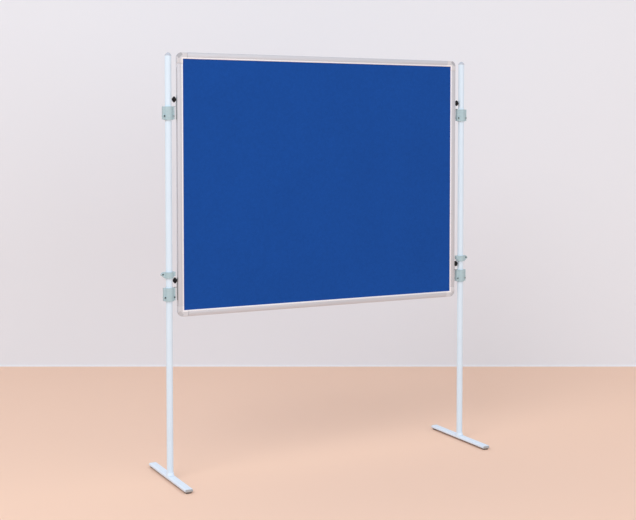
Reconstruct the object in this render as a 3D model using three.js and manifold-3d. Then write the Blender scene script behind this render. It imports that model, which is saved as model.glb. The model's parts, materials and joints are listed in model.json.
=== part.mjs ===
// Free-standing partition panel: a felt pinboard in an aluminium frame, hung between two round
// posts on flat T-feet. Four split clamps on the posts carry folded hangers on the frame's sides.
// Millimetres, +Z up, origin on the floor between the posts, -Y is the front.
import * as THREE from "three";
import { mergeVertices } from "three/addons/utils/BufferGeometryUtils.js";
import Module from "manifold-3d";

const wasm = await Module();
wasm.setup();

// ---- Panel ----
const PANEL_WIDTH = 1500;
const PANEL_HEIGHT = 1200;
const PANEL_BOTTOM = 745; // floor to the underside of the frame
const RAIL_FACE = 29; // outer side of the frame to the felt
const RAIL_DEPTH = 18; // frame, front to back
const RAIL_CROWN = 0.6; // how far the face falls away at its outer edge
const RAIL_EDGE = 4; // rounding of the outer edge
const LIP_WIDTH = 7.6; // stepped bead beside the felt
const LIP_STEP = 1.6; // how far that bead lies behind the face
const LIP_FALL = 2.6; // how far its inner edge lies behind the face
const CORE_THICKNESS = 6;
const FELT_THICKNESS = 2;
const BOND_GAP = 0.1; // glue between core and felt
const BOARD_INSERT = 10; // how deep the board stands in the rails
const BOARD_CLEARANCE = 0.2; // board to the faces of its channel
const BOARD_END_GAP = 0.3; // board to the floor of its channel

// ---- Slot in the outer side of every rail ----
const SLOT_MOUTH = 7;
const SLOT_WIDTH = 12;
const SLOT_LIP = 1.8;
const SLOT_DEPTH = 6.5;
const RAIL_WEB = 1.8; // walls on both sides of the rail's inner chamber
const CHAMBER_WIDTH = 11.4;
const NUT_ENTRY_LENGTH = 18; // wide place at the top of a side rail's slot

// ---- Corner pieces ----
const CORNER_LEG = 50;
const CORNER_RADIUS = 25;
const CORNER_BEVEL = 2.4;
const TONGUE_LENGTH = 25;
const TONGUE_CLEARANCE = 0.2;
const JOINT_GAP = 0.3; // rail end to corner piece
const FACET_REACH = 26; // outer corner to the start of the sloping facet, along the diagonal
const FACET_SLOPE = 0.28; // fall of the facet for each millimetre along the diagonal
const FACET_WIDTH = 26;

// ---- Posts ----
const POST_GAP = 25; // frame side to post
const POST_DIAMETER = 30;
const POST_WALL = 1.5;
const POST_HEIGHT = 1943; // floor to the top of the cap
const CAP_HEIGHT = 14;
const CAP_OVERHANG = 0.5;
const CAP_STEM = 22;
const CAP_SEAT = 0.2;
const STEM_CLEARANCE = 0.2;
const PLUG_LENGTH = 36;

// ---- Feet ----
const FOOT_LENGTH = 480;
const FOOT_WIDTH = 38;
const FOOT_HEIGHT = 15;
const FOOT_ROUND = 6;
const FOOT_WALL = 2;
const FOOT_LIFT = 6; // height of the glides under the bar
const FOOT_SEAT = 0.3;
const END_CAP_LENGTH = 7;
const END_CAP_BEVEL = 3;
const END_CAP_TONGUE = 18;
const GLIDE_LENGTH = 26;
const GLIDE_WIDTH = 26;
const SADDLE_HEIGHT = 14;
const SADDLE_HALF_WIDTH = 18.4;
const SADDLE_HALF_LENGTH = 20;
const SADDLE_LIP = 1.1; // wall of the saddle at its top
const FOOT_BOLT_DIAMETER = 8;
const FOOT_BOLT_LENGTH = 32;
const FOOT_BOLT_HEAD = 5;

// ---- Clamps ----
const CLAMP_HEIGHT = 58;
const LOWER_CLAMP_TOP = 135; // above the underside of the frame
const UPPER_CLAMP_TOP = 245; // below the top of the frame
const CLAMP_CLEARANCE = 0.1; // round the post
const CLAMP_SPLIT = 1; // gap between the two halves
const SLEEVE_WALL = 6;
const SLEEVE_FOOT = 2.5; // how far the sleeve reaches below the ears
const EAR_DEPTH = 9.5; // parting plane to the face of an ear
const EAR_ROUND = 2.5;
const BOLT_OFFSET = 7; // outside of the post to the axis of a clamp bolt
const BOLT_DIAMETER = 4;
const BOLT_HEAD_DIAMETER = 7.6;
const NUT_ACROSS_CORNERS = 8.1;
const BOLT_RISE = 15; // clamp underside to the bolt axes
const BOLT_CLEARANCE = 0.2;
const BOSS_WALL = 1; // boss wall round a bolt head
const EAR_MARGIN = 0.3; // ear end beyond the boss
const BOSS_HEIGHT = 3; // boss in front of the ear
const HEAD_RECESS = 4.6;
const POCKET_DEPTH = 22;
const POCKET_WALL = 1.5; // ear end outside the pocket

// ---- Hangers, sliding nuts and knobs ----
const HANGER_THICKNESS = 2;
const HANGER_WIDTH = 10;
const HANGER_GAP = 0.3; // hanger to frame side, and hook to pocket wall
const HANGER_MARGIN = 11; // hanger beyond the knob axis
const HOOK_SEAT = 0.15; // hook above the clamp
const HOOK_DEPTH = 20;
const KNOB_RISE = 32; // clamp top to the knob axis
const KNOB_DIAMETER = 29;
const KNOB_FACE_DIAMETER = 12;
const KNOB_HUB_DIAMETER = 12;
const KNOB_POST_GAP = 4; // knob face to post
const KNOB_SEAT = 0.2; // knob hub to hanger
const KNOB_LOBES = 8;
const KNOB_LOBE_DEPTH = 0.1;
const STUD_DIAMETER = 6;
const STUD_CLEARANCE = 0.35;
const NUT_LENGTH = 18;
const NUT_CLEARANCE = 0.3;

// ---- Lock collars ----
const COLLAR_HEIGHT = 28;
const COLLAR_OVER_KNOB = 6; // underside of the ring above the knob's face
const TAB_OVER_KNOB = 6; // underside of the tab above the knob's rim
const WING_REACH = 25; // beyond the outside of the post
const WING_DEPTH = 13;
const WING_SLIT = 1.2;
const WING_BOLT_INSET = 9; // wing tip to bolt axis
const WING_BOLT_DROP = 10; // top of the collar to the bolt axis
const WING_TIP_DROP = 9.5;
const WING_TIP_HEIGHT = 3;
const COLLAR_BOLT_RECESS = 3;

// ---- Sizes worked out from those above ----
const POST_RADIUS = POST_DIAMETER / 2;
const POST_X = PANEL_WIDTH / 2 + POST_GAP + POST_RADIUS;
const FRAME_SIDE = POST_GAP + POST_RADIUS; // post axis to the frame's side
const PANEL_MIDDLE = PANEL_BOTTOM + PANEL_HEIGHT / 2;
const BOARD_DEPTH = CORE_THICKNESS + 2 * (BOND_GAP + FELT_THICKNESS);
const CHANNEL_HALF = BOARD_DEPTH / 2 + BOARD_CLEARANCE;
const CHANNEL_FLOOR = RAIL_FACE - BOARD_INSERT - BOARD_END_GAP;
const CHAMBER_NEAR = SLOT_DEPTH + RAIL_WEB;
const CHAMBER_FAR = CHANNEL_FLOOR - RAIL_WEB;
const FOOT_TOP = FOOT_LIFT + FOOT_HEIGHT;
const TUBE_BOTTOM = FOOT_TOP + FOOT_SEAT;
const TUBE_TOP = POST_HEIGHT - CAP_HEIGHT - CAP_SEAT;
const TUBE_BORE = POST_RADIUS - POST_WALL;
const STEM_RADIUS = TUBE_BORE - STEM_CLEARANCE;
const CLAMP_BORE = POST_RADIUS + CLAMP_CLEARANCE;
const SLEEVE_RADIUS = POST_RADIUS + SLEEVE_WALL;
const BOLT_X = POST_RADIUS + BOLT_OFFSET;
const RECESS_RADIUS = NUT_ACROSS_CORNERS / 2 + BOLT_CLEARANCE;
const BOSS_RADIUS = RECESS_RADIUS + BOSS_WALL;
const EAR_REACH = BOLT_X + BOSS_RADIUS + EAR_MARGIN;
const BOSS_FACE = EAR_DEPTH + BOSS_HEIGHT;
const POCKET_OUTER = EAR_REACH - POCKET_WALL;
const POCKET_INNER = POCKET_OUTER - HANGER_THICKNESS - 2 * HANGER_GAP;
const HANGER_FACE = FRAME_SIDE - HANGER_GAP; // the side of the hanger that lies on the frame
const KNOB_AXIS = CLAMP_HEIGHT + KNOB_RISE; // above the clamp's underside
const KNOB_START = HANGER_GAP + HANGER_THICKNESS + KNOB_SEAT; // from the frame's side
const KNOB_END = POST_GAP - KNOB_POST_GAP;
const COLLAR_BOTTOM = KNOB_AXIS + KNOB_FACE_DIAMETER / 2 + COLLAR_OVER_KNOB;
const TAB_BOTTOM = KNOB_AXIS + KNOB_DIAMETER / 2 + TAB_OVER_KNOB - COLLAR_BOTTOM;
const COLLAR_BOLT_X = POST_RADIUS + WING_REACH - WING_BOLT_INSET;
const CLAMP_BOTTOMS = {
  upper: PANEL_BOTTOM + PANEL_HEIGHT - UPPER_CLAMP_TOP - CLAMP_HEIGHT,
  lower: PANEL_BOTTOM + LOWER_CLAMP_TOP - CLAMP_HEIGHT,
};

// ---- Faces round a circle ----
const POST_FACES = 32;
const ROUND_FACES = 24;
const SMALL_FACES = 12;

const MATERIALS = {
  powder_coat: new THREE.MeshStandardMaterial({ color: 0xdfe6f0, roughness: 0.42, metalness: 0.0 }),
  cap_plastic: new THREE.MeshStandardMaterial({ color: 0xc9ccd8, roughness: 0.5, metalness: 0.0 }),
  aluminium: new THREE.MeshStandardMaterial({ color: 0xd2d0d3, roughness: 0.38, metalness: 0.75 }),
  corner_plastic: new THREE.MeshStandardMaterial({ color: 0xc4c3c5, roughness: 0.5, metalness: 0.0 }),
  end_plastic: new THREE.MeshStandardMaterial({ color: 0xb5b6b4, roughness: 0.55, metalness: 0.0 }),
  clamp_plastic: new THREE.MeshStandardMaterial({ color: 0xb0c6cc, roughness: 0.45, metalness: 0.0 }),
  felt: new THREE.MeshStandardMaterial({ color: 0x1b4a96, roughness: 0.95, metalness: 0.0 }),
  board: new THREE.MeshStandardMaterial({ color: 0x9a7b55, roughness: 0.9, metalness: 0.0 }),
  steel: new THREE.MeshStandardMaterial({ color: 0x8c9092, roughness: 0.35, metalness: 0.9 }),
  knob_plastic: new THREE.MeshStandardMaterial({ color: 0x141416, roughness: 0.4, metalness: 0.0 }),
};

// ---- Solids ----

function toSolid(geometry) {
  const bare = geometry.clone();
  bare.deleteAttribute("normal");
  bare.deleteAttribute("uv");
  const merged = mergeVertices(bare);
  const vertProperties = merged.attributes.position.array;
  const triVerts = new Uint32Array(merged.index.array);
  return new wasm.Manifold(new wasm.Mesh({ numProp: 3, vertProperties, triVerts }));
}

function toGeometry(solid) {
  const mesh = solid.getMesh();
  const indexed = new THREE.BufferGeometry();
  indexed.setAttribute("position", new THREE.BufferAttribute(mesh.vertProperties, 3));
  indexed.setIndex(new THREE.BufferAttribute(mesh.triVerts, 1));
  const geometry = indexed.toNonIndexed();
  geometry.computeVertexNormals();
  return geometry;
}

// Joins the bodies, then takes the cutters away.
function combine(bodies, cutters = []) {
  let solid = toSolid(bodies[0]);
  for (const body of bodies.slice(1)) {
    solid = solid.add(toSolid(body));
  }
  for (const cutter of cutters) {
    solid = solid.subtract(toSolid(cutter));
  }
  return toGeometry(solid);
}

// A box from its lowest to its highest corner.
function block(low, high) {
  const size = high.map((value, axis) => value - low[axis]);
  const box = new THREE.BoxGeometry(...size);
  box.translate(...high.map((value, axis) => (value + low[axis]) / 2));
  return box;
}

// Points of an arc from one angle to another, both ends included.
function arc(x, y, radius, from, to, steps) {
  const points = [];
  for (let step = 0; step <= steps; step++) {
    const angle = from + ((to - from) * step) / steps;
    points.push(new THREE.Vector2(x + radius * Math.cos(angle), y + radius * Math.sin(angle)));
  }
  return points;
}

function circle(radius, faces) {
  return arc(0, 0, radius, 0, 2 * Math.PI, faces).slice(0, -1);
}

// Corner arcs of a rectangle centred on the origin.
function roundedRectangle(width, height, radius, steps) {
  const x = width / 2 - radius;
  const y = height / 2 - radius;
  const quarter = Math.PI / 2;
  return [
    ...arc(x, y, radius, 0, quarter, steps),
    ...arc(-x, y, radius, quarter, 2 * quarter, steps),
    ...arc(-x, -y, radius, 2 * quarter, 3 * quarter, steps),
    ...arc(x, -y, radius, 3 * quarter, 4 * quarter, steps),
  ];
}

// An outline in X and Y, with holes, raised along Z.
function prism(outline, bottom, top, holes = []) {
  const shape = new THREE.Shape(outline);
  shape.holes = holes.map((points) => new THREE.Path(points));
  const geometry = new THREE.ExtrudeGeometry(shape, { depth: top - bottom, bevelEnabled: false });
  return geometry.translate(0, 0, bottom);
}

// An outline in X and Z, carried along Y from front to back.
function prismAlongY(outline, front, back, holes = []) {
  return prism(outline, -back, -front, holes).rotateX(Math.PI / 2);
}

function cylinder(radius, bottom, top, faces) {
  return prism(circle(radius, faces), bottom, top);
}

function cylinderAlongY(radius, x, z, front, back, faces) {
  const centred = circle(radius, faces).map((point) => point.add(new THREE.Vector2(x, z)));
  return prismAlongY(centred, front, back);
}

function cylinderAlongX(radius, y, z, low, high, faces) {
  return cylinder(radius, low, high, faces).rotateY(Math.PI / 2).translate(0, y, z);
}

// Revolves a closed profile of [radius, z] pairs about Z.
function turned(profile, faces) {
  const points = profile.map(([radius, z]) => new THREE.Vector2(radius, z));
  return new THREE.LatheGeometry(points, faces).rotateX(Math.PI / 2);
}

// Skins rings of points that climb along Z and closes both ends with flat fans.
function loft(rings) {
  const count = rings[0].points.length;
  const positions = [];
  const indices = [];
  for (const { points, z } of rings) {
    points.forEach((point) => positions.push(point.x, point.y, z));
  }
  const bottomCentre = positions.length / 3;
  positions.push(0, 0, rings[0].z, 0, 0, rings.at(-1).z);
  const topRing = (rings.length - 1) * count;
  for (let here = 0; here < count; here++) {
    const next = (here + 1) % count;
    for (let row = 0; row < topRing; row += count) {
      indices.push(row + here, row + next, row + count + next);
      indices.push(row + here, row + count + next, row + count + here);
    }
    indices.push(bottomCentre, next, here);
    indices.push(bottomCentre + 1, topRing + here, topRing + next);
  }
  const geometry = new THREE.BufferGeometry();
  geometry.setAttribute("position", new THREE.Float32BufferAttribute(positions, 3));
  return geometry.setIndex(indices);
}

function piece(name, geometry, material) {
  const mesh = new THREE.Mesh(geometry, material);
  mesh.name = name;
  return mesh;
}

// ---- Frame ----

// Half of the rail's outline, from the slot mouth over the crowned face to the board channel.
// u runs from the frame's outer side to the felt, v from the middle plane to one face.
function railHalf() {
  const face = RAIL_DEPTH / 2;
  const lip = RAIL_FACE - LIP_WIDTH;
  const edge = new THREE.QuadraticBezierCurve(
    new THREE.Vector2(0, face - RAIL_CROWN - RAIL_EDGE),
    new THREE.Vector2(0, face - RAIL_CROWN),
    new THREE.Vector2(RAIL_EDGE, face - RAIL_CROWN),
  );
  const crown = new THREE.QuadraticBezierCurve(
    new THREE.Vector2(RAIL_EDGE, face - RAIL_CROWN),
    new THREE.Vector2((RAIL_EDGE + lip) / 2, face + RAIL_CROWN),
    new THREE.Vector2(lip, face - RAIL_CROWN),
  );
  const bead = new THREE.QuadraticBezierCurve(
    new THREE.Vector2(lip, face - LIP_STEP),
    new THREE.Vector2(lip + LIP_WIDTH * 0.6, face - RAIL_CROWN),
    new THREE.Vector2(RAIL_FACE, face - LIP_FALL),
  );
  return [
    new THREE.Vector2(0, SLOT_MOUTH / 2),
    ...edge.getPoints(3),
    ...crown.getPoints(4).slice(1),
    ...bead.getPoints(3),
    new THREE.Vector2(RAIL_FACE, CHANNEL_HALF),
    new THREE.Vector2(CHANNEL_FLOOR, CHANNEL_HALF),
  ];
}

// The whole rail section: slot on the outer side, chamber for the corner tongues, board channel.
function railSection() {
  const half = railHalf();
  const other = half.map((point) => new THREE.Vector2(point.x, -point.y)).reverse();
  const slot = [
    new THREE.Vector2(SLOT_LIP, -SLOT_MOUTH / 2),
    new THREE.Vector2(SLOT_LIP, -SLOT_WIDTH / 2),
    new THREE.Vector2(SLOT_DEPTH, -SLOT_WIDTH / 2),
    new THREE.Vector2(SLOT_DEPTH, SLOT_WIDTH / 2),
    new THREE.Vector2(SLOT_LIP, SLOT_WIDTH / 2),
    new THREE.Vector2(SLOT_LIP, SLOT_MOUTH / 2),
  ];
  const chamber = [
    new THREE.Vector2(CHAMBER_NEAR, -CHAMBER_WIDTH / 2),
    new THREE.Vector2(CHAMBER_FAR, -CHAMBER_WIDTH / 2),
    new THREE.Vector2(CHAMBER_FAR, CHAMBER_WIDTH / 2),
    new THREE.Vector2(CHAMBER_NEAR, CHAMBER_WIDTH / 2),
  ];
  return { outline: [...half, ...other, ...slot], chamber };
}

// The left rail, in the panel's own frame with its origin in the panel's middle.
function sideRail() {
  const { outline, chamber } = railSection();
  const end = PANEL_HEIGHT / 2 - CORNER_LEG - JOINT_GAP;
  const rail = prism(outline, -end, end, [chamber]).translate(-PANEL_WIDTH / 2, 0, 0);
  const entry = block(
    [-PANEL_WIDTH / 2 - 1, -SLOT_WIDTH / 2, end - NUT_ENTRY_LENGTH],
    [-PANEL_WIDTH / 2 + SLOT_LIP + 1, SLOT_WIDTH / 2, end + 1],
  );
  return combine([rail], [entry]);
}

// The top rail: the same section laid along X.
function topRail() {
  const { outline, chamber } = railSection();
  const end = PANEL_WIDTH / 2 - CORNER_LEG - JOINT_GAP;
  const downUpAlong = new THREE.Matrix4().makeBasis(
    new THREE.Vector3(0, 0, -1),
    new THREE.Vector3(0, 1, 0),
    new THREE.Vector3(1, 0, 0),
  );
  return prism(outline, -end, end, [chamber]).applyMatrix4(downUpAlong).translate(0, 0, PANEL_HEIGHT / 2);
}

// A wedge that slices the sloping facet off the outer corner, for the front (-1) or the back (1).
function facetCutter(face) {
  const start = -FACET_REACH;
  const surface = RAIL_DEPTH / 2;
  const beyond = 6;
  const outline = [
    new THREE.Vector2(start - beyond, surface + beyond * FACET_SLOPE),
    new THREE.Vector2(beyond, surface - (beyond - start) * FACET_SLOPE),
    new THREE.Vector2(beyond, surface + beyond * FACET_SLOPE),
  ].map((point) => new THREE.Vector2(point.x, face * point.y));
  const diagonal = new THREE.Matrix4().makeBasis(
    new THREE.Vector3(Math.SQRT1_2, 0, Math.SQRT1_2),
    new THREE.Vector3(0, 1, 0),
    new THREE.Vector3(-Math.SQRT1_2, 0, Math.SQRT1_2),
  );
  const wedge = prism(outline, -FACET_WIDTH / 2, FACET_WIDTH / 2);
  return wedge.applyMatrix4(diagonal).translate(PANEL_WIDTH / 2, 0, PANEL_HEIGHT / 2);
}

// The upper right corner: a rounded L with a tongue for each rail and a channel for the board.
function cornerPiece() {
  const right = PANEL_WIDTH / 2;
  const top = PANEL_HEIGHT / 2;
  const outline = [
    new THREE.Vector2(right - CORNER_LEG, top - RAIL_FACE),
    new THREE.Vector2(right - RAIL_FACE, top - RAIL_FACE),
    new THREE.Vector2(right - RAIL_FACE, top - CORNER_LEG),
    new THREE.Vector2(right, top - CORNER_LEG),
    ...arc(right - CORNER_RADIUS, top - CORNER_RADIUS, CORNER_RADIUS, 0, Math.PI / 2, 7),
    new THREE.Vector2(right - CORNER_LEG, top),
  ];
  const depth = RAIL_DEPTH - 2 * CORNER_BEVEL;
  const body = new THREE.ExtrudeGeometry(new THREE.Shape(outline), {
    depth,
    bevelThickness: CORNER_BEVEL,
    bevelSize: CORNER_BEVEL,
    bevelOffset: -CORNER_BEVEL,
    bevelSegments: 2,
  });
  body.translate(0, 0, -depth / 2).rotateX(Math.PI / 2);
  const low = CHAMBER_NEAR + TONGUE_CLEARANCE;
  const high = CHAMBER_FAR - TONGUE_CLEARANCE;
  const half = CHAMBER_WIDTH / 2 - TONGUE_CLEARANCE;
  const reach = CORNER_LEG + TONGUE_LENGTH;
  const root = CORNER_LEG - 2 * CORNER_BEVEL;
  const along = block([right - reach, -half, top - high], [right - root, half, top - low]);
  const down = block([right - high, -half, top - reach], [right - low, half, top - root]);
  const channel = block(
    [right - reach, -CHANNEL_HALF, top - reach],
    [right - CHANNEL_FLOOR, CHANNEL_HALF, top - CHANNEL_FLOOR],
  );
  return combine([body, along, down], [channel, facetCutter(-1), facetCutter(1)]);
}

function board(front, back) {
  const halfWidth = PANEL_WIDTH / 2 - RAIL_FACE + BOARD_INSERT;
  const halfHeight = PANEL_HEIGHT / 2 - RAIL_FACE + BOARD_INSERT;
  return block([-halfWidth, front, -halfHeight], [halfWidth, back, halfHeight]);
}

function buildPanel() {
  const panel = new THREE.Group();
  panel.position.z = PANEL_MIDDLE;
  const core = CORE_THICKNESS / 2;
  const felt = core + BOND_GAP;
  panel.add(piece("core_board", board(-core, core), MATERIALS.board));
  panel.add(piece("front_felt", board(-felt - FELT_THICKNESS, -felt), MATERIALS.felt));
  panel.add(piece("back_felt", board(felt, felt + FELT_THICKNESS), MATERIALS.felt));
  const rows = { top: 1, bottom: -1 };
  const columns = { left: -1, right: 1 };
  for (const [row, z] of Object.entries(rows)) {
    const rail = piece(`${row}_rail`, topRail(), MATERIALS.aluminium);
    rail.scale.z = z;
    panel.add(rail);
    for (const [column, x] of Object.entries(columns)) {
      const corner = piece(`${row}_${column}_corner`, cornerPiece(), MATERIALS.corner_plastic);
      corner.scale.set(x, 1, z);
      panel.add(corner);
    }
  }
  for (const [column, x] of Object.entries(columns)) {
    const rail = piece(`${column}_rail`, sideRail(), MATERIALS.aluminium);
    rail.scale.x = -x;
    panel.add(rail);
  }
  return panel;
}

// ---- Posts and feet, in a frame whose Z axis is the post's axis and whose +X points at the panel ----

function postTube() {
  return prism(circle(POST_RADIUS, POST_FACES), TUBE_BOTTOM, TUBE_TOP, [circle(TUBE_BORE, POST_FACES)]);
}

function postCap() {
  const rim = POST_RADIUS + CAP_OVERHANG;
  const seat = TUBE_TOP + CAP_SEAT;
  const profile = [
    [0, seat - CAP_STEM],
    [STEM_RADIUS - 1, seat - CAP_STEM],
    [STEM_RADIUS, seat - CAP_STEM + 3],
    [STEM_RADIUS, seat],
    [rim, seat],
    [rim, seat + 1.2],
    [rim * 0.88, seat + CAP_HEIGHT * 0.26],
    [rim * 0.65, seat + CAP_HEIGHT * 0.58],
    [rim * 0.35, seat + CAP_HEIGHT * 0.88],
    [0, seat + CAP_HEIGHT],
  ];
  return turned(profile, POST_FACES);
}

function postPlug() {
  const bore = FOOT_BOLT_DIAMETER / 2 + BOLT_CLEARANCE;
  return prism(circle(STEM_RADIUS, ROUND_FACES), TUBE_BOTTOM, TUBE_BOTTOM + PLUG_LENGTH, [
    circle(bore, ROUND_FACES),
  ]);
}

// A flared collar that sits over the bar's rounded top and closes round the post.
function footSaddle() {
  const bore = POST_RADIUS + CLAMP_CLEARANCE;
  const neck = bore + SADDLE_LIP;
  const steps = [
    [1, -FOOT_ROUND / SADDLE_HEIGHT],
    [1, 0.1],
    [0.7, 0.3],
    [0.38, 0.55],
    [0.14, 0.8],
    [0, 1],
  ];
  const rings = steps.map(([spread, climb]) => {
    const halfWidth = neck + (SADDLE_HALF_WIDTH - neck) * spread;
    const halfLength = neck + (SADDLE_HALF_LENGTH - neck) * spread;
    const points = circle(1, POST_FACES).map((point) => {
      return new THREE.Vector2(point.x * halfWidth, point.y * halfLength);
    });
    return { points, z: TUBE_BOTTOM + SADDLE_HEIGHT * climb };
  });
  const reach = 2 * SADDLE_HALF_LENGTH;
  return combine([loft(rings)], [
    cylinder(bore, 0, FOOT_TOP + 2 * SADDLE_HEIGHT, POST_FACES),
    prismAlongY(footSection(-FOOT_SEAT, 4), -reach, reach),
  ]);
}

function footSection(shrink, steps) {
  const width = FOOT_WIDTH - 2 * shrink;
  const height = FOOT_HEIGHT - 2 * shrink;
  const outline = roundedRectangle(width, height, FOOT_ROUND - shrink, steps);
  return outline.map((point) => new THREE.Vector2(point.x, point.y + FOOT_LIFT + FOOT_HEIGHT / 2));
}

function footBar() {
  const end = FOOT_LENGTH / 2 - END_CAP_LENGTH - JOINT_GAP;
  const bar = prismAlongY(footSection(0, 4), -end, end, [footSection(FOOT_WALL, 2)]);
  const middle = FOOT_LIFT + FOOT_HEIGHT / 2;
  const boltHole = cylinder(FOOT_BOLT_DIAMETER / 2 + BOLT_CLEARANCE, middle, FOOT_TOP + 1, SMALL_FACES);
  const access = cylinder(FOOT_BOLT_DIAMETER + 1, 0, middle, SMALL_FACES);
  return combine([bar], [boltHole, access]);
}

// The front end cap: a rounded end, a tongue inside the bar and a glide that stands on the floor.
function footEndCap() {
  const front = -FOOT_LENGTH / 2;
  const shoulder = front + END_CAP_LENGTH;
  const shape = new THREE.Shape(footSection(0, 4));
  const end = new THREE.ExtrudeGeometry(shape, {
    depth: END_CAP_LENGTH - END_CAP_BEVEL,
    bevelThickness: END_CAP_BEVEL,
    bevelSize: END_CAP_BEVEL,
    bevelOffset: -END_CAP_BEVEL,
    bevelSegments: 2,
  });
  end.rotateX(Math.PI / 2).translate(0, shoulder, 0);
  const square = block(
    [-FOOT_WIDTH, shoulder, 0],
    [FOOT_WIDTH, shoulder + 2 * END_CAP_BEVEL, 2 * FOOT_HEIGHT],
  );
  const head = combine([end], [square]);
  const inside = footSection(FOOT_WALL + TONGUE_CLEARANCE, 2);
  const tongue = prismAlongY(inside, shoulder - 1, shoulder + END_CAP_TONGUE);
  const glideTop = FOOT_LIFT - JOINT_GAP;
  const pad = roundedRectangle(GLIDE_WIDTH, GLIDE_LENGTH, 5, 3);
  const inset = front + END_CAP_BEVEL + GLIDE_LENGTH / 2;
  const glide = prism(pad, 0, glideTop).translate(0, inset, 0);
  const neck = block([-GLIDE_WIDTH / 4, front + END_CAP_BEVEL + 1, 1], [GLIDE_WIDTH / 4, shoulder, FOOT_TOP / 2]);
  return combine([head, tongue, glide, neck]);
}

function footBolt() {
  const top = FOOT_TOP - FOOT_WALL - FOOT_SEAT;
  const under = top - FOOT_BOLT_HEAD;
  const head = cylinder(FOOT_BOLT_DIAMETER * 0.8, under, top, SMALL_FACES);
  const shank = cylinder(FOOT_BOLT_DIAMETER / 2 - 0.05, under + 1, top + FOOT_BOLT_LENGTH, SMALL_FACES);
  const socket = cylinder(FOOT_BOLT_DIAMETER * 0.42, under - 1, under + FOOT_BOLT_HEAD / 2, 6);
  return combine([head, shank], [socket]);
}

function buildPost(side) {
  const post = new THREE.Group();
  post.add(piece(`${side}_post_tube`, postTube(), MATERIALS.powder_coat));
  post.add(piece(`${side}_post_cap`, postCap(), MATERIALS.cap_plastic));
  post.add(piece(`${side}_post_plug`, postPlug(), MATERIALS.steel));
  post.add(piece(`${side}_foot_saddle`, footSaddle(), MATERIALS.powder_coat));
  post.add(piece(`${side}_foot_bar`, footBar(), MATERIALS.powder_coat));
  post.add(piece(`${side}_foot_bolt`, footBolt(), MATERIALS.steel));
  const ends = { front: 1, rear: -1 };
  for (const [end, y] of Object.entries(ends)) {
    const cap = piece(`${side}_foot_${end}_cap`, footEndCap(), MATERIALS.end_plastic);
    cap.scale.y = y;
    post.add(cap);
  }
  return post;
}

// ---- Clamps, hangers and knobs, in the post's frame with Z from the clamp's underside ----

// The front half: a sleeve round the post with an ear on each side and a boss round each bolt.
function clampHalf() {
  const ears = roundedRectangle(2 * EAR_REACH, 2 * EAR_DEPTH, EAR_ROUND, 3);
  const halfPocket = HANGER_WIDTH / 2 + HANGER_GAP;
  const beyond = 2 * EAR_REACH;
  const bodies = [
    cylinder(SLEEVE_RADIUS, -SLEEVE_FOOT, CLAMP_HEIGHT, POST_FACES),
    prism(ears, 0, CLAMP_HEIGHT),
  ];
  const cutters = [
    cylinder(CLAMP_BORE, -SLEEVE_FOOT - 1, CLAMP_HEIGHT + 1, POST_FACES),
    block([-beyond, -CLAMP_SPLIT / 2, -beyond], [beyond, beyond, 2 * CLAMP_HEIGHT]),
    block([POCKET_INNER, -halfPocket, CLAMP_HEIGHT - POCKET_DEPTH], [POCKET_OUTER, 0, CLAMP_HEIGHT + 1]),
  ];
  const hole = BOLT_DIAMETER / 2 + BOLT_CLEARANCE;
  const seat = -BOSS_FACE + HEAD_RECESS;
  for (const x of [-BOLT_X, BOLT_X]) {
    bodies.push(cylinderAlongY(BOSS_RADIUS, x, BOLT_RISE, -BOSS_FACE, -EAR_DEPTH + 1, SMALL_FACES));
    cutters.push(cylinderAlongY(hole, x, BOLT_RISE, seat - 1, 0, SMALL_FACES));
    cutters.push(cylinderAlongY(RECESS_RADIUS, x, BOLT_RISE, -BOSS_FACE - 1, seat, SMALL_FACES));
  }
  return combine(bodies, cutters);
}

// Head in front, nut behind, both sunk in their bosses.
function clampBolt(x) {
  const seat = BOSS_FACE - HEAD_RECESS + BOLT_CLEARANCE;
  const end = BOSS_FACE - 0.5;
  const head = cylinderAlongY(BOLT_HEAD_DIAMETER / 2, x, BOLT_RISE, -end, -seat, SMALL_FACES);
  const shank = cylinderAlongY(BOLT_DIAMETER / 2, x, BOLT_RISE, -seat - 1, seat + 1, SMALL_FACES);
  const nut = cylinderAlongY(NUT_ACROSS_CORNERS / 2, x, BOLT_RISE, seat, end, 6);
  const socket = cylinderAlongY(BOLT_DIAMETER * 0.46, x, BOLT_RISE, -end - 1, -end + 2, 6);
  return combine([head, shank, nut], [socket]);
}

// A folded strip: a long leg on the frame's side, and a hook over the ear and down into its pocket.
function hanger() {
  const legNear = HANGER_FACE - HANGER_THICKNESS;
  const hookOuter = POCKET_OUTER - HANGER_GAP;
  const under = CLAMP_HEIGHT + HOOK_SEAT;
  const top = KNOB_AXIS + HANGER_MARGIN;
  const outline = [
    new THREE.Vector2(legNear, 0),
    new THREE.Vector2(HANGER_FACE, 0),
    new THREE.Vector2(HANGER_FACE, top),
    new THREE.Vector2(legNear, top),
    new THREE.Vector2(legNear, under + HANGER_THICKNESS),
    ...arc(hookOuter, under, HANGER_THICKNESS, Math.PI / 2, Math.PI, 5),
    new THREE.Vector2(hookOuter - HANGER_THICKNESS, CLAMP_HEIGHT - HOOK_DEPTH),
    new THREE.Vector2(hookOuter, CLAMP_HEIGHT - HOOK_DEPTH),
    new THREE.Vector2(hookOuter, under),
    new THREE.Vector2(legNear, under),
  ];
  const strip = prismAlongY(outline, -HANGER_WIDTH / 2, HANGER_WIDTH / 2);
  const hole = STUD_DIAMETER / 2 + STUD_CLEARANCE;
  return combine([strip], [cylinderAlongX(hole, 0, KNOB_AXIS, 0, FRAME_SIDE + 1, SMALL_FACES)]);
}

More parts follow.
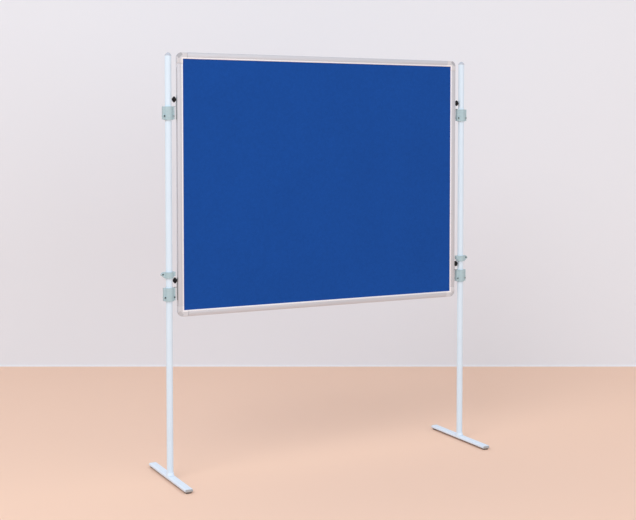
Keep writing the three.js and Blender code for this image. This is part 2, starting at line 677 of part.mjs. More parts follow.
function slidingNut() {
  const near = FRAME_SIDE + SLOT_LIP + NUT_CLEARANCE;
  const far = FRAME_SIDE + SLOT_DEPTH - 2 * NUT_CLEARANCE;
  const half = SLOT_WIDTH / 2 - NUT_CLEARANCE;
  const body = block([near, -half, KNOB_AXIS - NUT_LENGTH / 2], [far, half, KNOB_AXIS + NUT_LENGTH / 2]);
  const hole = STUD_DIAMETER / 2 + STUD_CLEARANCE;
  return combine([body], [cylinderAlongX(hole, 0, KNOB_AXIS, near - 1, far + 1, SMALL_FACES)]);
}

// A lobed head with a hub at the hanger and a narrow face at the post, on a stud into the slot.
function knob() {
  const length = KNOB_END - KNOB_START;
  const rows = [
    [KNOB_HUB_DIAMETER, 0, 0],
    [KNOB_HUB_DIAMETER, 0.12, 0],
    [KNOB_DIAMETER * 0.62, 0.24, 0.4],
    [KNOB_DIAMETER * 0.9, 0.38, 0.9],
    [KNOB_DIAMETER, 0.47, 1],
    [KNOB_DIAMETER, 0.55, 1],
    [KNOB_DIAMETER * 0.84, 0.7, 0.9],
    [KNOB_DIAMETER * 0.62, 0.85, 0.5],
    [KNOB_FACE_DIAMETER, 0.98, 0],
    [KNOB_FACE_DIAMETER * 0.7, 1, 0],
  ];
  const rings = rows.map(([diameter, along, lobing]) => {
    const points = circle(1, ROUND_FACES).map((point) => {
      const wave = (1 - Math.cos(KNOB_LOBES * Math.atan2(point.y, point.x))) / 2;
      return point.multiplyScalar((diameter / 2) * (1 - KNOB_LOBE_DEPTH * lobing * wave));
    });
    return { points, z: KNOB_START + length * along };
  });
  const stud = cylinder(STUD_DIAMETER / 2, -SLOT_DEPTH + 2 * NUT_CLEARANCE, KNOB_START + 1, SMALL_FACES);
  const alongPost = combine([loft(rings), stud]);
  return alongPost.rotateY(-Math.PI / 2).translate(FRAME_SIDE, 0, KNOB_AXIS);
}

// ---- Lock collar, in the post's frame with Z from its underside ----

function lockCollar() {
  const tip = -(POST_RADIUS + WING_REACH);
  const tipTop = COLLAR_HEIGHT - WING_TIP_DROP;
  const wing = [
    new THREE.Vector2(-CLAMP_BORE - 1, 0),
    new THREE.Vector2(-SLEEVE_RADIUS, 0),
    new THREE.Vector2(tip + WING_REACH * 0.2, tipTop - WING_TIP_HEIGHT - 3.5),
    new THREE.Vector2(tip, tipTop - WING_TIP_HEIGHT),
    new THREE.Vector2(tip, tipTop),
    new THREE.Vector2(tip + WING_TIP_DROP, COLLAR_HEIGHT),
    new THREE.Vector2(-CLAMP_BORE - 1, COLLAR_HEIGHT),
  ].reverse();
  const bodies = [
    prism(circle(SLEEVE_RADIUS, POST_FACES), 0, COLLAR_HEIGHT),
    prismAlongY(wing, -WING_DEPTH / 2, WING_DEPTH / 2),
    block([CLAMP_BORE, -EAR_DEPTH, TAB_BOTTOM], [EAR_REACH, EAR_DEPTH, COLLAR_HEIGHT]),
  ];
  const boltZ = COLLAR_HEIGHT - WING_BOLT_DROP;
  const hole = BOLT_DIAMETER / 2 + BOLT_CLEARANCE;
  const face = WING_DEPTH / 2;
  const recess = BOLT_HEAD_DIAMETER / 2 + BOLT_CLEARANCE;
  const cutters = [
    cylinder(CLAMP_BORE, -1, COLLAR_HEIGHT + 1, POST_FACES),
    block([tip - 1, -WING_SLIT / 2, -1], [0, WING_SLIT / 2, COLLAR_HEIGHT + 1]),
    cylinderAlongY(hole, -COLLAR_BOLT_X, boltZ, -face - 1, face + 1, SMALL_FACES),
    cylinderAlongY(recess, -COLLAR_BOLT_X, boltZ, -face - 1, -face + COLLAR_BOLT_RECESS, SMALL_FACES),
  ];
  return combine(bodies, cutters);
}

function collarBolt() {
  const z = COLLAR_HEIGHT - WING_BOLT_DROP;
  const face = WING_DEPTH / 2;
  const under = -face + COLLAR_BOLT_RECESS - BOLT_CLEARANCE;
  const x = -COLLAR_BOLT_X;
  const head = cylinderAlongY(BOLT_HEAD_DIAMETER / 2, x, z, -face + 0.3, under, SMALL_FACES);
  const shank = cylinderAlongY(BOLT_DIAMETER / 2, x, z, under - 1, face - 0.3, SMALL_FACES);
  const socket = cylinderAlongY(BOLT_DIAMETER * 0.46, x, z, -face - 1, -face + 1.6, 6);
  return combine([head, shank], [socket]);
}

// Everything that joins one side of the panel to its post at one height.
function buildClampSet(level, side) {
  const set = new THREE.Group();
  const name = `${level}_${side}`;
  set.position.z = CLAMP_BOTTOMS[level];
  set.add(piece(`${name}_clamp_front`, clampHalf(), MATERIALS.clamp_plastic));
  const rear = piece(`${name}_clamp_rear`, clampHalf(), MATERIALS.clamp_plastic);
  rear.scale.y = -1;
  set.add(rear);
  set.add(piece(`${name}_inner_bolt`, clampBolt(BOLT_X), MATERIALS.steel));
  set.add(piece(`${name}_outer_bolt`, clampBolt(-BOLT_X), MATERIALS.steel));
  set.add(piece(`${name}_hanger`, hanger(), MATERIALS.steel));
  set.add(piece(`${name}_sliding_nut`, slidingNut(), MATERIALS.steel));
  set.add(piece(`${name}_knob`, knob(), MATERIALS.knob_plastic));
  return set;
}

function buildCollarSet(side) {
  const set = new THREE.Group();
  set.position.z = CLAMP_BOTTOMS.lower + COLLAR_BOTTOM;
  set.add(piece(`${side}_lock_collar`, lockCollar(), MATERIALS.clamp_plastic));
  set.add(piece(`${side}_collar_bolt`, collarBolt(), MATERIALS.steel));
  return set;
}

const partition = new THREE.Group();
partition.add(buildPanel());
for (const [side, towardsPanel] of Object.entries({ left: 1, right: -1 })) {
  const post = buildPost(side);
  post.add(buildClampSet("upper", side));
  post.add(buildClampSet("lower", side));
  post.add(buildCollarSet(side));
  post.position.x = -towardsPanel * POST_X;
  post.scale.x = towardsPanel;
  partition.add(post);
}

export default partition;
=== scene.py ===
import json
import math

import bmesh
import bpy
from mathutils import Matrix, Vector, noise

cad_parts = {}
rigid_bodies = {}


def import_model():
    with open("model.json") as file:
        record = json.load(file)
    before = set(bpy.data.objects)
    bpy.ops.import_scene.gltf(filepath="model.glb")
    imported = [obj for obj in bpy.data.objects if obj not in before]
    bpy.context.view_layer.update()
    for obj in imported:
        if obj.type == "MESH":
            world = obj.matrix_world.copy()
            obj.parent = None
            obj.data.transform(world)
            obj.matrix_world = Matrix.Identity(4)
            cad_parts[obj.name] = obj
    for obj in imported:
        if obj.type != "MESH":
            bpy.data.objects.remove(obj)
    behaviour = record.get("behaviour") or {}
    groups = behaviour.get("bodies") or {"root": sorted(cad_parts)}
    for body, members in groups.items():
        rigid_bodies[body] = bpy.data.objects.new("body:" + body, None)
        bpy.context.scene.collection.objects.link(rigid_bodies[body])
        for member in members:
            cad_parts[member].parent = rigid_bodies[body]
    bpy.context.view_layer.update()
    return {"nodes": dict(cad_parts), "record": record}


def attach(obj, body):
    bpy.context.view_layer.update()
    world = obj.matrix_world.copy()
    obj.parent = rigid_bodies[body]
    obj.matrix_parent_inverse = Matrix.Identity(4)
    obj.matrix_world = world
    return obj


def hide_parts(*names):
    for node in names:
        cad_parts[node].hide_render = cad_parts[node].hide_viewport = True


# Free-standing partition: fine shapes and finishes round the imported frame. Builders work in
# millimetres in a part's own frame; piece() turns them into metres in the shared frame.
for leftover in list(bpy.data.objects):
    bpy.data.objects.remove(leftover)
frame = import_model()
NODES = frame["nodes"]
SIDES = {"left": 1, "right": -1}

# ---- The model's sizes, in millimetres ----
MM = 0.001
PANEL_W, PANEL_H, PANEL_BOTTOM = 1500.0, 1200.0, 745.0
PANEL_MID = PANEL_BOTTOM + PANEL_H / 2
RAIL_FACE, RAIL_HALF = 29.0, 9.0
RAIL_EDGE, RAIL_SIDE, RAIL_FLAT, RAIL_LIP = 4.0, 4.4, 8.4, 7.6
BEAD_START, SLOT_SHADE = 21.8, 5.8
SLOT_MOUTH, SLOT_WIDTH, SLOT_LIP, SLOT_DEPTH = 7.0, 12.0, 1.8, 6.5
CHANNEL_HALF, CHANNEL_FLOOR = 5.3, 18.7
CORNER_LEG, CORNER_RADIUS, CORNER_BEVEL, JOINT_GAP = 50.0, 25.0, 2.4, 0.3
FACET_REACH, FACET_HALF, FACET_SLOPE = 26.0, 13.0, 0.28
TONGUE_NEAR, TONGUE_FAR, TONGUE_START, TONGUE_END, TONGUE_HALF = 8.5, 16.7, 47.0, 75.0, 5.5
FELT_W, FELT_H, FELT_BACK, FELT_FACE = 1462.0, 1162.0, 3.1, 4.9
POST_X, POST_R, TUBE_BORE = 790.0, 15.0, 13.5
TUBE_BOTTOM, TUBE_TOP = 21.3, 1928.8
CAP_STEM, CAP_STEM_R, CAP_R, CAP_RISE = 22.0, 13.3, 15.5, 14.0
FOOT_LENGTH, FOOT_WIDTH, FOOT_HEIGHT, FOOT_LIFT = 480.0, 38.0, 15.0, 6.0
FOOT_TOP, FOOT_ROUND, FOOT_WALL = FOOT_LIFT + FOOT_HEIGHT, 6.0, 2.0
FOOT_MIDDLE = FOOT_LIFT + FOOT_HEIGHT / 2
SADDLE_X, SADDLE_Y, SADDLE_RISE, SADDLE_GAP = 18.4, 20.0, 12.7, 1.3
END_LENGTH, END_BEVEL, END_TONGUE, GLIDE_SIZE = 7.0, 3.0, 18.0, 26.0
CLAMP_H, SLEEVE_R, SLEEVE_FOOT, CLAMP_BORE = 58.0, 21.0, 2.5, 15.1
EAR_REACH, EAR_DEPTH, HALF_GAP = 27.55, 9.5, 0.5
BOLT_X, BOLT_RISE, BOSS_R, RECESS_R, BOSS_FACE, RECESS = 22.0, 15.0, 5.25, 4.25, 12.5, 4.6
SCREW_HEAD_R, SCREW_R, SCREW_SOCKET, SCREW_HOLE, NUT_R = 3.8, 2.0, 1.84, 2.2, 4.05
POCKET_IN, POCKET_OUT, POCKET_HALF, POCKET_DEPTH = 23.45, 26.05, 6.3, 22.0
HANGER_NEAR, HANGER_FAR, HOOK_OUT, HANGER_HALF = 37.7, 39.7, 25.75, 5.0
KNOB_X, KNOB_RISE, KNOB_START, KNOB_END, KNOB_LOBES = 40.0, 90.0, 2.5, 21.0, 8
COLLAR_RISE, COLLAR_H, WING_TIP, WING_HALF = 102.0, 28.0, -40.0, 6.5
WING_SCREW_X, WING_SCREW_RISE = -31.0, 18.0
CLAMP_Z = {"upper": 1642.0, "lower": 822.0}
NUT_IN_FRONT = ("upper_left_inner", "upper_right_outer", "lower_right_outer")

# ---- Steps round a full turn ----
COARSE, MEDIUM, ROUND, FINE = 24, 32, 72, 96


# ---- Mesh toolkit ----

def arc(x, y, radius, start, end, steps):
    turn = math.radians(end - start) / steps
    first = math.radians(start)
    return [
        (x + radius * math.cos(first + turn * i), y + radius * math.sin(first + turn * i))
        for i in range(steps + 1)
    ]


def circle(radius, faces, x=0.0, y=0.0):
    return arc(x, y, radius, 0, 360, faces)[:-1]


def rounded_box(width, height, radius, steps, x=0.0, y=0.0):
    a, b = width / 2 - radius, height / 2 - radius
    return (
        arc(x + a, y + b, radius, 0, 90, steps)
        + arc(x - a, y + b, radius, 90, 180, steps)
        + arc(x - a, y - b, radius, 180, 270, steps)
        + arc(x + a, y - b, radius, 270, 360, steps)
    )


def curve2(a, b, c, steps):
    """Points of a quadratic curve from a to c, pulled towards b."""
    points = []
    for i in range(steps + 1):
        t = i / steps
        points.append(
            tuple((1 - t) ** 2 * a[k] + 2 * t * (1 - t) * b[k] + t * t * c[k] for k in (0, 1))
        )
    return points


def inset(points, distance):
    """A closed outline, anticlockwise, moved inwards by a distance, with mitred corners."""
    moved = []
    for i, p in enumerate(points):
        before, after = points[i - 1], points[(i + 1) % len(points)]
        d1 = Vector((p[0] - before[0], p[1] - before[1])).normalized()
        d2 = Vector((after[0] - p[0], after[1] - p[1])).normalized()
        n1, n2 = Vector((-d1.y, d1.x)), Vector((-d2.y, d2.x))
        mitre = (n1 + n2) / max(0.2, 1 + n1.dot(n2))
        moved.append((p[0] + mitre.x * distance, p[1] + mitre.y * distance))
    return moved


def skin(rings, close=True):
    """Joins rings of 3-D points, each with the same count, and caps both ends."""
    count = len(rings[0])
    verts = [p for ring in rings for p in ring]
    faces = []
    for row in range(len(rings) - 1):
        for i in range(count):
            j = (i + 1) % count
            a, b = row * count, (row + 1) * count
            faces.append((a + i, a + j, b + j, b + i))
    if close:
        faces.append(tuple(range(count))[::-1])
        faces.append(tuple(range(len(verts) - count, len(verts))))
    return verts, faces


def prism(points, low, high):
    return skin([[(x, y, z) for x, y in points] for z in (low, high)])


def prism_y(points, front, back):
    """An outline in X and Z carried along Y."""
    verts, faces = prism(points, -back, -front)
    return [(x, -z, y) for x, y, z in verts], faces


def tube_y(radius, x, z, front, back, faces=MEDIUM):
    return prism_y(circle(radius, faces, x, z), front, back)


def tube_x(radius, y, z, low, high, faces=MEDIUM):
    verts, faces_ = prism(circle(radius, faces, y, z), low, high)
    return [(c, a, b) for a, b, c in verts], faces_


def box(low, high):
    return prism([(low[0], low[1]), (high[0], low[1]), (high[0], high[1]), (low[0], high[1])],
                 low[2], high[2])


def revolved(profile, faces):
    """One ring of 3-D points for each (radius, z) of a profile."""
    turns = [2 * math.pi * i / faces for i in range(faces)]
    return [[(r * math.cos(a), r * math.sin(a), z) for a in turns] for r, z in profile]


def turned(profile, faces):
    """Revolves an open profile of (radius, z) that starts and ends on the axis."""
    rings = revolved([(r, z) for r, z in profile if r > 0], faces)
    verts, sides = skin(rings, close=False)
    start, end = len(verts), len(verts) + 1
    verts += [(0, 0, profile[0][1]), (0, 0, profile[-1][1])]
    last = (len(rings) - 1) * faces
    for i in range(faces):
        j = (i + 1) % faces
        sides.append((start, j, i))
        sides.append((end, last + i, last + j))
    return verts, sides


def ring_turned(profile, faces):
    """Revolves a closed profile that stays clear of the axis."""
    rings = revolved(profile, faces)
    verts, sides = skin(rings, close=False)
    last = (len(rings) - 1) * faces
    for i in range(faces):
        j = (i + 1) % faces
        sides.append((last + i, last + j, j, i))
    return verts, sides


def solid(form):
    """A mesh of a form, with its faces turned outwards."""
    verts, faces = form
    mesh = bpy.data.meshes.new("form")
    mesh.from_pydata([tuple(v) for v in verts], [], faces)
    bm = bmesh.new()
    bm.from_mesh(mesh)
    bmesh.ops.recalc_face_normals(bm, faces=bm.faces)
    bm.to_mesh(mesh)
    bm.free()
    return mesh


def applied(mesh, setup):
    """The mesh after the modifiers that setup adds to an object made of it."""
    obj = bpy.data.objects.new("work", mesh)
    bpy.context.scene.collection.objects.link(obj)
    helpers = setup(obj) or []
    bpy.context.view_layer.update()
    graph = bpy.context.evaluated_depsgraph_get()
    result = bpy.data.meshes.new_from_object(obj.evaluated_get(graph))
    for spare in [obj, *helpers]:
        bpy.data.objects.remove(spare)
    return result


def carve(mesh, forms, operation="DIFFERENCE"):
    """Takes the forms away from the mesh, or joins them to it."""
    for form in forms:
        def setup(obj, form=form):
            other = bpy.data.objects.new("cutter", solid(form))
            bpy.context.scene.collection.objects.link(other)
            modifier = obj.modifiers.new("cut", "BOOLEAN")
            modifier.operation = operation
            modifier.solver = "EXACT"
            modifier.object = other
            return [other]

        mesh = applied(mesh, setup)
    return mesh


def merged(*meshes):
    """Several meshes as one, each kept as its own closed shell."""
    bm = bmesh.new()
    for mesh in meshes:
        bm.from_mesh(mesh)
    whole = bpy.data.meshes.new("merged")
    bm.to_mesh(whole)
    bm.free()
    return whole


def placed(mesh, matrix):
    """A copy of the mesh under a matrix, turned inside out again if the matrix mirrors."""
    copy = mesh.copy()
    copy.transform(matrix)
    if matrix.determinant() < 0:
        copy.flip_normals()
    return copy


def rounded(mesh, width, segments=2, angle=32):
    """Rounds every sharp edge by a width in millimetres, with flat faces kept flat in shading."""
    bm = bmesh.new()
    bm.from_mesh(mesh)
    bmesh.ops.remove_doubles(bm, verts=bm.verts, dist=0.002)
    bmesh.ops.dissolve_limit(bm, angle_limit=math.radians(0.6), verts=bm.verts, edges=bm.edges)
    bm.to_mesh(mesh)
    bm.free()

    def setup(obj):
        obj.data.shade_smooth()
        modifier = obj.modifiers.new("round", "BEVEL")
        modifier.width = width
        modifier.segments = segments
        modifier.limit_method = "ANGLE"
        modifier.angle_limit = math.radians(angle)
        modifier.harden_normals = True

    return applied(mesh, setup)


def piece(name, mesh, body, finish, replaces=(), crease=None):
    """Turns a mesh in millimetres into a piece that rides on a body and stands for CAD nodes."""
    mesh.transform(Matrix.Scale(MM, 4))
    mesh.name = name
    if crease is not None:
        mesh.shade_smooth()
        mesh.set_sharp_from_angle(angle=math.radians(crease))
    mesh.materials.clear()
    mesh.materials.append(finish)
    for polygon in mesh.polygons:
        polygon.material_index = 0
    obj = bpy.data.objects.new(name, mesh)
    bpy.context.scene.collection.objects.link(obj)
    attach(obj, body)
    if replaces:
        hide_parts(*replaces)
    return obj


# ---- Finishes ----

def srgb(red, green, blue):
    def linear(value):
        value /= 255
        return value / 12.92 if value <= 0.04045 else ((value + 0.055) / 1.055) ** 2.4

    return (linear(red), linear(green), linear(blue), 1.0)


def scaled(colour, factor):
    return tuple(min(1.0, c * factor) for c in colour[:3]) + (1.0,)


def grey(value):
    return (value, value, value, 1)


BLACK, WHITE = grey(0), grey(1)
# Of these, the second is the post coat painted lighter as painted light on the feet's tops, and the
# third is painted shade for their undersides.
COAT_TONE, FOOT_LIT_TONE, UNDERSIDE_SHADE_TONE = srgb(214, 232, 247), srgb(223, 236, 251), srgb(158, 143, 132)
# The bead tones are a painted highlight along the frame's inner lip; the slot tone is painted light
# inside the outer slot.
RAIL_TONE, RAIL_BEAD_HIGHLIGHT, RAIL_SLOT_PAINTED_LIGHT = srgb(201, 202, 209), srgb(238, 238, 243), srgb(250, 250, 252)
CORNER_TONES, CORNER_BEAD_HIGHLIGHT = (srgb(200, 200, 205), srgb(207, 207, 212)), srgb(236, 235, 239)
# The upper facet tone is painted shade and the lower one painted light, evening out the light from
# above on the corners.
FACET_UPPER_SHADED, FACET_LOWER_LIT = srgb(168, 169, 175), srgb(188, 189, 194)
END_RIM_TONES = srgb(214, 224, 236), srgb(222, 231, 243)
END_FACE_TONES = srgb(162, 168, 174), srgb(172, 177, 182)
# The first tone here is a rubber grey for the glides, deepened as painted shade under the foot
# ends.
GLIDE_SHADE_TONE, CAP_TONE, CLAMP_TONE = srgb(104, 98, 94), srgb(184, 190, 202), srgb(170, 195, 203)
KNOB_TONE, STEEL_TONE, DARK_STEEL_TONE = srgb(8, 8, 10), srgb(150, 155, 158), srgb(84, 94, 100)
FELT_TONE, FELT_SHEEN = srgb(22, 74, 155), srgb(80, 130, 220)
BOARD_TONES = srgb(132, 104, 72), srgb(174, 143, 104)
FLOOR_TONE, WALL_TONE = srgb(241, 206, 185), srgb(232, 235, 242)


NOISE_LOW, NOISE_HIGH = 0.3, 0.7


class Finish:
    """A Principled material and the few node helpers that the finishes share."""

    def __init__(self, name, roughness, **inputs):
        self.material = bpy.data.materials.new(name)
        self.material.use_nodes = True
        self.nodes = self.material.node_tree.nodes
        self.links = self.material.node_tree.links
        self.shader = self.nodes["Principled BSDF"]
        self.shader.inputs["Roughness"].default_value = roughness
        for key, value in inputs.items():
            self.shader.inputs[key.replace("_", " ")].default_value = value
        self.place = self.nodes.new("ShaderNodeTexCoord").outputs["Object"]

    def link(self, source, target):
        self.links.new(source, target)

    def stretched(self, sizes, turn=(0, 0, 0)):
        node = self.nodes.new("ShaderNodeMapping")
        node.inputs["Scale"].default_value = sizes
        node.inputs["Rotation"].default_value = [math.radians(a) for a in turn]
        self.link(self.place, node.inputs["Vector"])
        return node.outputs["Vector"]

    def noise(self, scale, detail=3.0, roughness=0.55, vector=None):
        node = self.nodes.new("ShaderNodeTexNoise")
        node.inputs["Scale"].default_value = scale
        node.inputs["Detail"].default_value = detail
        node.inputs["Roughness"].default_value = roughness
        self.link(vector or self.place, node.inputs["Vector"])
        return node.outputs["Fac"]

    def spots(self, scale, vector=None):
        node = self.nodes.new("ShaderNodeTexVoronoi")
        node.inputs["Scale"].default_value = scale
        self.link(vector or self.place, node.inputs["Vector"])
        return node.outputs["Distance"]

    def steps(self, factor, stops):
        node = self.nodes.new("ShaderNodeValToRGB")
        ramp = node.color_ramp
        while len(ramp.elements) < len(stops):
            ramp.elements.new(0.5)
        for element, (position, colour) in zip(ramp.elements, stops):
            element.position = position
            element.color = colour
        self.link(factor, node.inputs["Fac"])
        return node.outputs["Color"]

    def tones(self, value, dark, light, low=NOISE_LOW, high=NOISE_HIGH):
        """Runs from dark to light over the middle of a noise."""
        return self.steps(value, [(low, dark), (high, light)])

    def spread(self, value, low, high):
        """Maps the middle of a noise to a range."""
        node = self.nodes.new("ShaderNodeMapRange")
        node.inputs["From Min"].default_value = NOISE_LOW
        node.inputs["From Max"].default_value = NOISE_HIGH
        node.inputs["To Min"].default_value = low
        node.inputs["To Max"].default_value = high
        self.link(value, node.inputs["Value"])
        return node.outputs["Result"]

    def maths(self, operation, a, b):
        node = self.nodes.new("ShaderNodeMath")
        node.operation = operation
        for socket, value in zip(node.inputs, (a, b)):
            if isinstance(value, (int, float)):
                socket.default_value = value
            else:
                self.link(value, socket)
        return node.outputs["Value"]

    def mix(self, factor, a, b, blend="MIX"):
        node = self.nodes.new("ShaderNodeMix")
        node.data_type = "RGBA"
        node.blend_type = blend
        for socket, value in zip((node.inputs[0], node.inputs[6], node.inputs[7]), (factor, a, b)):
            if isinstance(value, (int, float, tuple)):
                socket.default_value = value
            else:
                self.link(value, socket)
        return node.outputs[2]

    def split(self):
        """The object coordinates as outputs X, Y and Z."""
        node = self.nodes.new("ShaderNodeSeparateXYZ")
        self.link(self.place, node.inputs["Vector"])
        return node.outputs

    def size_of(self, value):
        return self.maths("ABSOLUTE", value, 0)

    def minus(self, a, b):
        return self.maths("SUBTRACT", a, b)

    def times(self, a, b):
        return self.maths("MULTIPLY", a, b)

    def bump(self, height, strength, distance):
        node = self.nodes.new("ShaderNodeBump")
        node.inputs["Strength"].default_value = strength
        node.inputs["Distance"].default_value = distance
        self.link(height, node.inputs["Height"])
        before = self.shader.inputs["Normal"]
        if before.is_linked:
            self.link(before.links[0].from_socket, node.inputs["Normal"])
        self.link(node.outputs["Normal"], before)

    def colour(self, socket):
        self.link(socket, self.shader.inputs["Base Color"])

    def rough(self, socket):
        self.link(socket, self.shader.inputs["Roughness"])


def low_painted_shade(f, colour):
    """Painted shade: darkens a colour towards the floor, with a ragged edge, standing in for the
    shadow on the underside.
    """
    ragged = f.times(f.noise(55, 4), 0.12)
    height = f.maths("ADD", f.times(f.split()["Z"], 50), ragged)
    return f.mix(f.steps(height, [(0.42, WHITE), (0.62, BLACK)]), colour, UNDERSIDE_SHADE_TONE)


def powder_coat(name, base, painted_underside=False):
    """Sprayed and baked coat: a fine orange peel with faint clouding and small dull specks, with
    painted shade towards the floor when asked for.
    """
    f = Finish(name, 0.42, Coat_Weight=0.12, Coat_Roughness=0.3)
    tone = f.tones(f.noise(9, 4), scaled(base, 0.965), base)
    f.colour(low_painted_shade(f, tone) if painted_underside else tone)
    f.rough(f.spread(f.noise(60, 3), 0.36, 0.5))
    f.bump(f.noise(900, 2), 0.12, 0.00025)
    f.bump(f.noise(210, 1), 0.08, 0.0004)
    return f.material


def moulded(name, colour, roughness, grain=1400, clouding=0.05, specular=0.45):
    """Moulded plastic: fine spark-eroded grain, faint flow marks and uneven gloss."""
    f = Finish(name, roughness, Specular_IOR_Level=specular)
    flow = f.noise(1.0, 3, 0.5, f.stretched((45, 45, 130)))
    dark, light = scaled(colour, 1 - clouding), scaled(colour, 1 + clouding / 2)
    f.colour(f.tones(flow, dark, light, high=0.72))
    f.rough(f.spread(f.noise(160, 3), roughness - 0.06, roughness + 0.08))
    f.bump(f.noise(grain, 2), 0.16, 0.0002)
    f.bump(f.spots(grain * 0.7), 0.08, 0.00012)
    return f.material


def from_middle(f):
    """Distances from the middle of the panel, across and up, in metres."""
    parts = f.split()
    return f.size_of(parts["X"]), f.size_of(f.minus(parts["Z"], PANEL_MID * MM))


def outside_of(f, depth):
    """How far a point lies outside a line drawn at a depth in the frame, in metres."""
    across, up = from_middle(f)
    return f.maths("MAXIMUM", f.minus(across, (PANEL_W / 2 - depth) * MM),
                   f.minus(up, (PANEL_H / 2 - depth) * MM))


def bead_highlight(f):
    """1 on the rounded lip that runs round the inside of the frame, which carries a painted
    highlight, 0 on the rest.
    """
    return f.maths("LESS_THAN", outside_of(f, BEAD_START), 0)


def groove_painted_light(f):
    """1 inside the slot that runs round the outer side of the frame, which is painted lighter, 0 on
    the rest.
    """
    outside = outside_of(f, SLOT_DEPTH + 0.1)
    hidden = f.times(f.maths("GREATER_THAN", outside, 0),
                     f.maths("LESS_THAN", outside, SLOT_SHADE * MM))
    inner = f.maths("LESS_THAN", f.size_of(f.split()["Y"]), (SLOT_WIDTH / 2 + 0.1) * MM)
    return f.times(hidden, inner)


def brushed(name, along, colour, roughness=0.34):
    """Anodised aluminium with drawing lines along the extrusion."""
    f = Finish(name, roughness, Metallic=0.55)
    fine = [1500.0, 1500.0, 1500.0]
    coarse = [260.0, 260.0, 260.0]
    fine["XYZ".index(along)] = 9.0
    coarse["XYZ".index(along)] = 1.6
    lines = f.noise(1.0, 2, 0.6, f.stretched(fine))
    bands = f.noise(1.0, 2, 0.5, f.stretched(coarse))
    blend = f.maths("ADD", f.times(lines, 0.6), f.times(bands, 0.4))
    drawn = f.tones(blend, scaled(colour, 0.93), scaled(colour, 1.04), 0.36, 0.64)
    # Painted light: the slot's inside is near-white, so the recess reads lighter than its shade.
    drawn = f.mix(groove_painted_light(f), drawn, RAIL_SLOT_PAINTED_LIGHT)
    # Painted highlight: a bright line along the inner lip.
    f.colour(f.mix(bead_highlight(f), drawn, RAIL_BEAD_HIGHLIGHT))
    dull = f.maths("ADD", f.times(bands, 0.7), f.times(f.noise(14, 3), 0.3))
    f.rough(f.spread(dull, roughness - 0.05, roughness + 0.07))
    f.bump(lines, 0.1, 0.00008)
    return f.material


def felt():
    """Needled felt: short matted fibres in every direction, pilling, and a soft sheen."""
    f = Finish("felt_finish", 0.95, Sheen_Weight=0.16, Sheen_Roughness=0.45,
               Specular_IOR_Level=0.12, Sheen_Tint=FELT_SHEEN)
    strands = [f.noise(1.0, 3, 0.65, f.stretched((2600, 500, 380), (0, turn, 0)))
               for turn in (18, 74, 131)]
    mat = f.maths("MAXIMUM", strands[0], f.maths("MAXIMUM", strands[1], strands[2]))
    fibres = f.steps(mat, [(0.42, scaled(FELT_TONE, 0.78)), (0.6, FELT_TONE),
                           (0.8, scaled(FELT_TONE, 1.28))])
    mottle = f.tones(f.noise(70, 4, 0.6), grey(0.93), grey(1.05))
    clouds = f.tones(f.noise(3.2, 3, 0.5), grey(0.97), grey(1.03))
    tone = f.mix(1.0, fibres, mottle, "MULTIPLY")
    f.colour(f.mix(1.0, tone, clouds, "MULTIPLY"))
    f.bump(mat, 0.5, 0.0006)
    f.bump(f.noise(420, 4, 0.6), 0.35, 0.0007)
    return f.material


def plated(name, colour, roughness=0.32):
    """Zinc plated steel: blotchy sheen with fine scuffs."""
    f = Finish(name, roughness, Metallic=0.9)
    f.colour(f.tones(f.noise(120, 4), scaled(colour, 0.85), scaled(colour, 1.1)))
    f.rough(f.spread(f.noise(340, 3), roughness - 0.08, roughness + 0.12))
    f.bump(f.noise(1.0, 2, 0.6, f.stretched((2400, 300, 2400))), 0.1, 0.0001)
    return f.material


def corner_plastic():
    """Grey moulding toned like the rails, with the duller screw facet on its outer corner, painted
    darker on the upper corners and lighter on the lower ones as painted shade and light.
    """
    f = Finish("corner_finish", 0.5, Specular_IOR_Level=0.4)
    across, up = from_middle(f)
    tip, skew = (PANEL_W + PANEL_H) / 2, (PANEL_W - PANEL_H) / 2
    outward = f.maths("GREATER_THAN", f.maths("ADD", across, up),
                      (tip - FACET_REACH * math.sqrt(2)) * MM)
    slant = f.size_of(f.minus(f.minus(across, up), skew * MM))
    narrow = f.maths("LESS_THAN", slant, FACET_HALF * math.sqrt(2) * MM)
    grain = f.tones(f.noise(90, 3), *CORNER_TONES)
    # Painted shade on the upper facets and painted light on the lower ones.
    lower = f.maths("LESS_THAN", f.split()["Z"], PANEL_MID * MM)
    plain = f.mix(f.times(outward, narrow), grain, f.mix(lower, FACET_UPPER_SHADED, FACET_LOWER_LIT))
    # Painted highlight: the same bright line along the inner lip.
    f.colour(f.mix(bead_highlight(f), plain, CORNER_BEAD_HIGHLIGHT))
    f.rough(f.spread(f.noise(160, 3), 0.44, 0.58))
    f.bump(f.noise(1400, 2), 0.16, 0.0002)
    return f.material


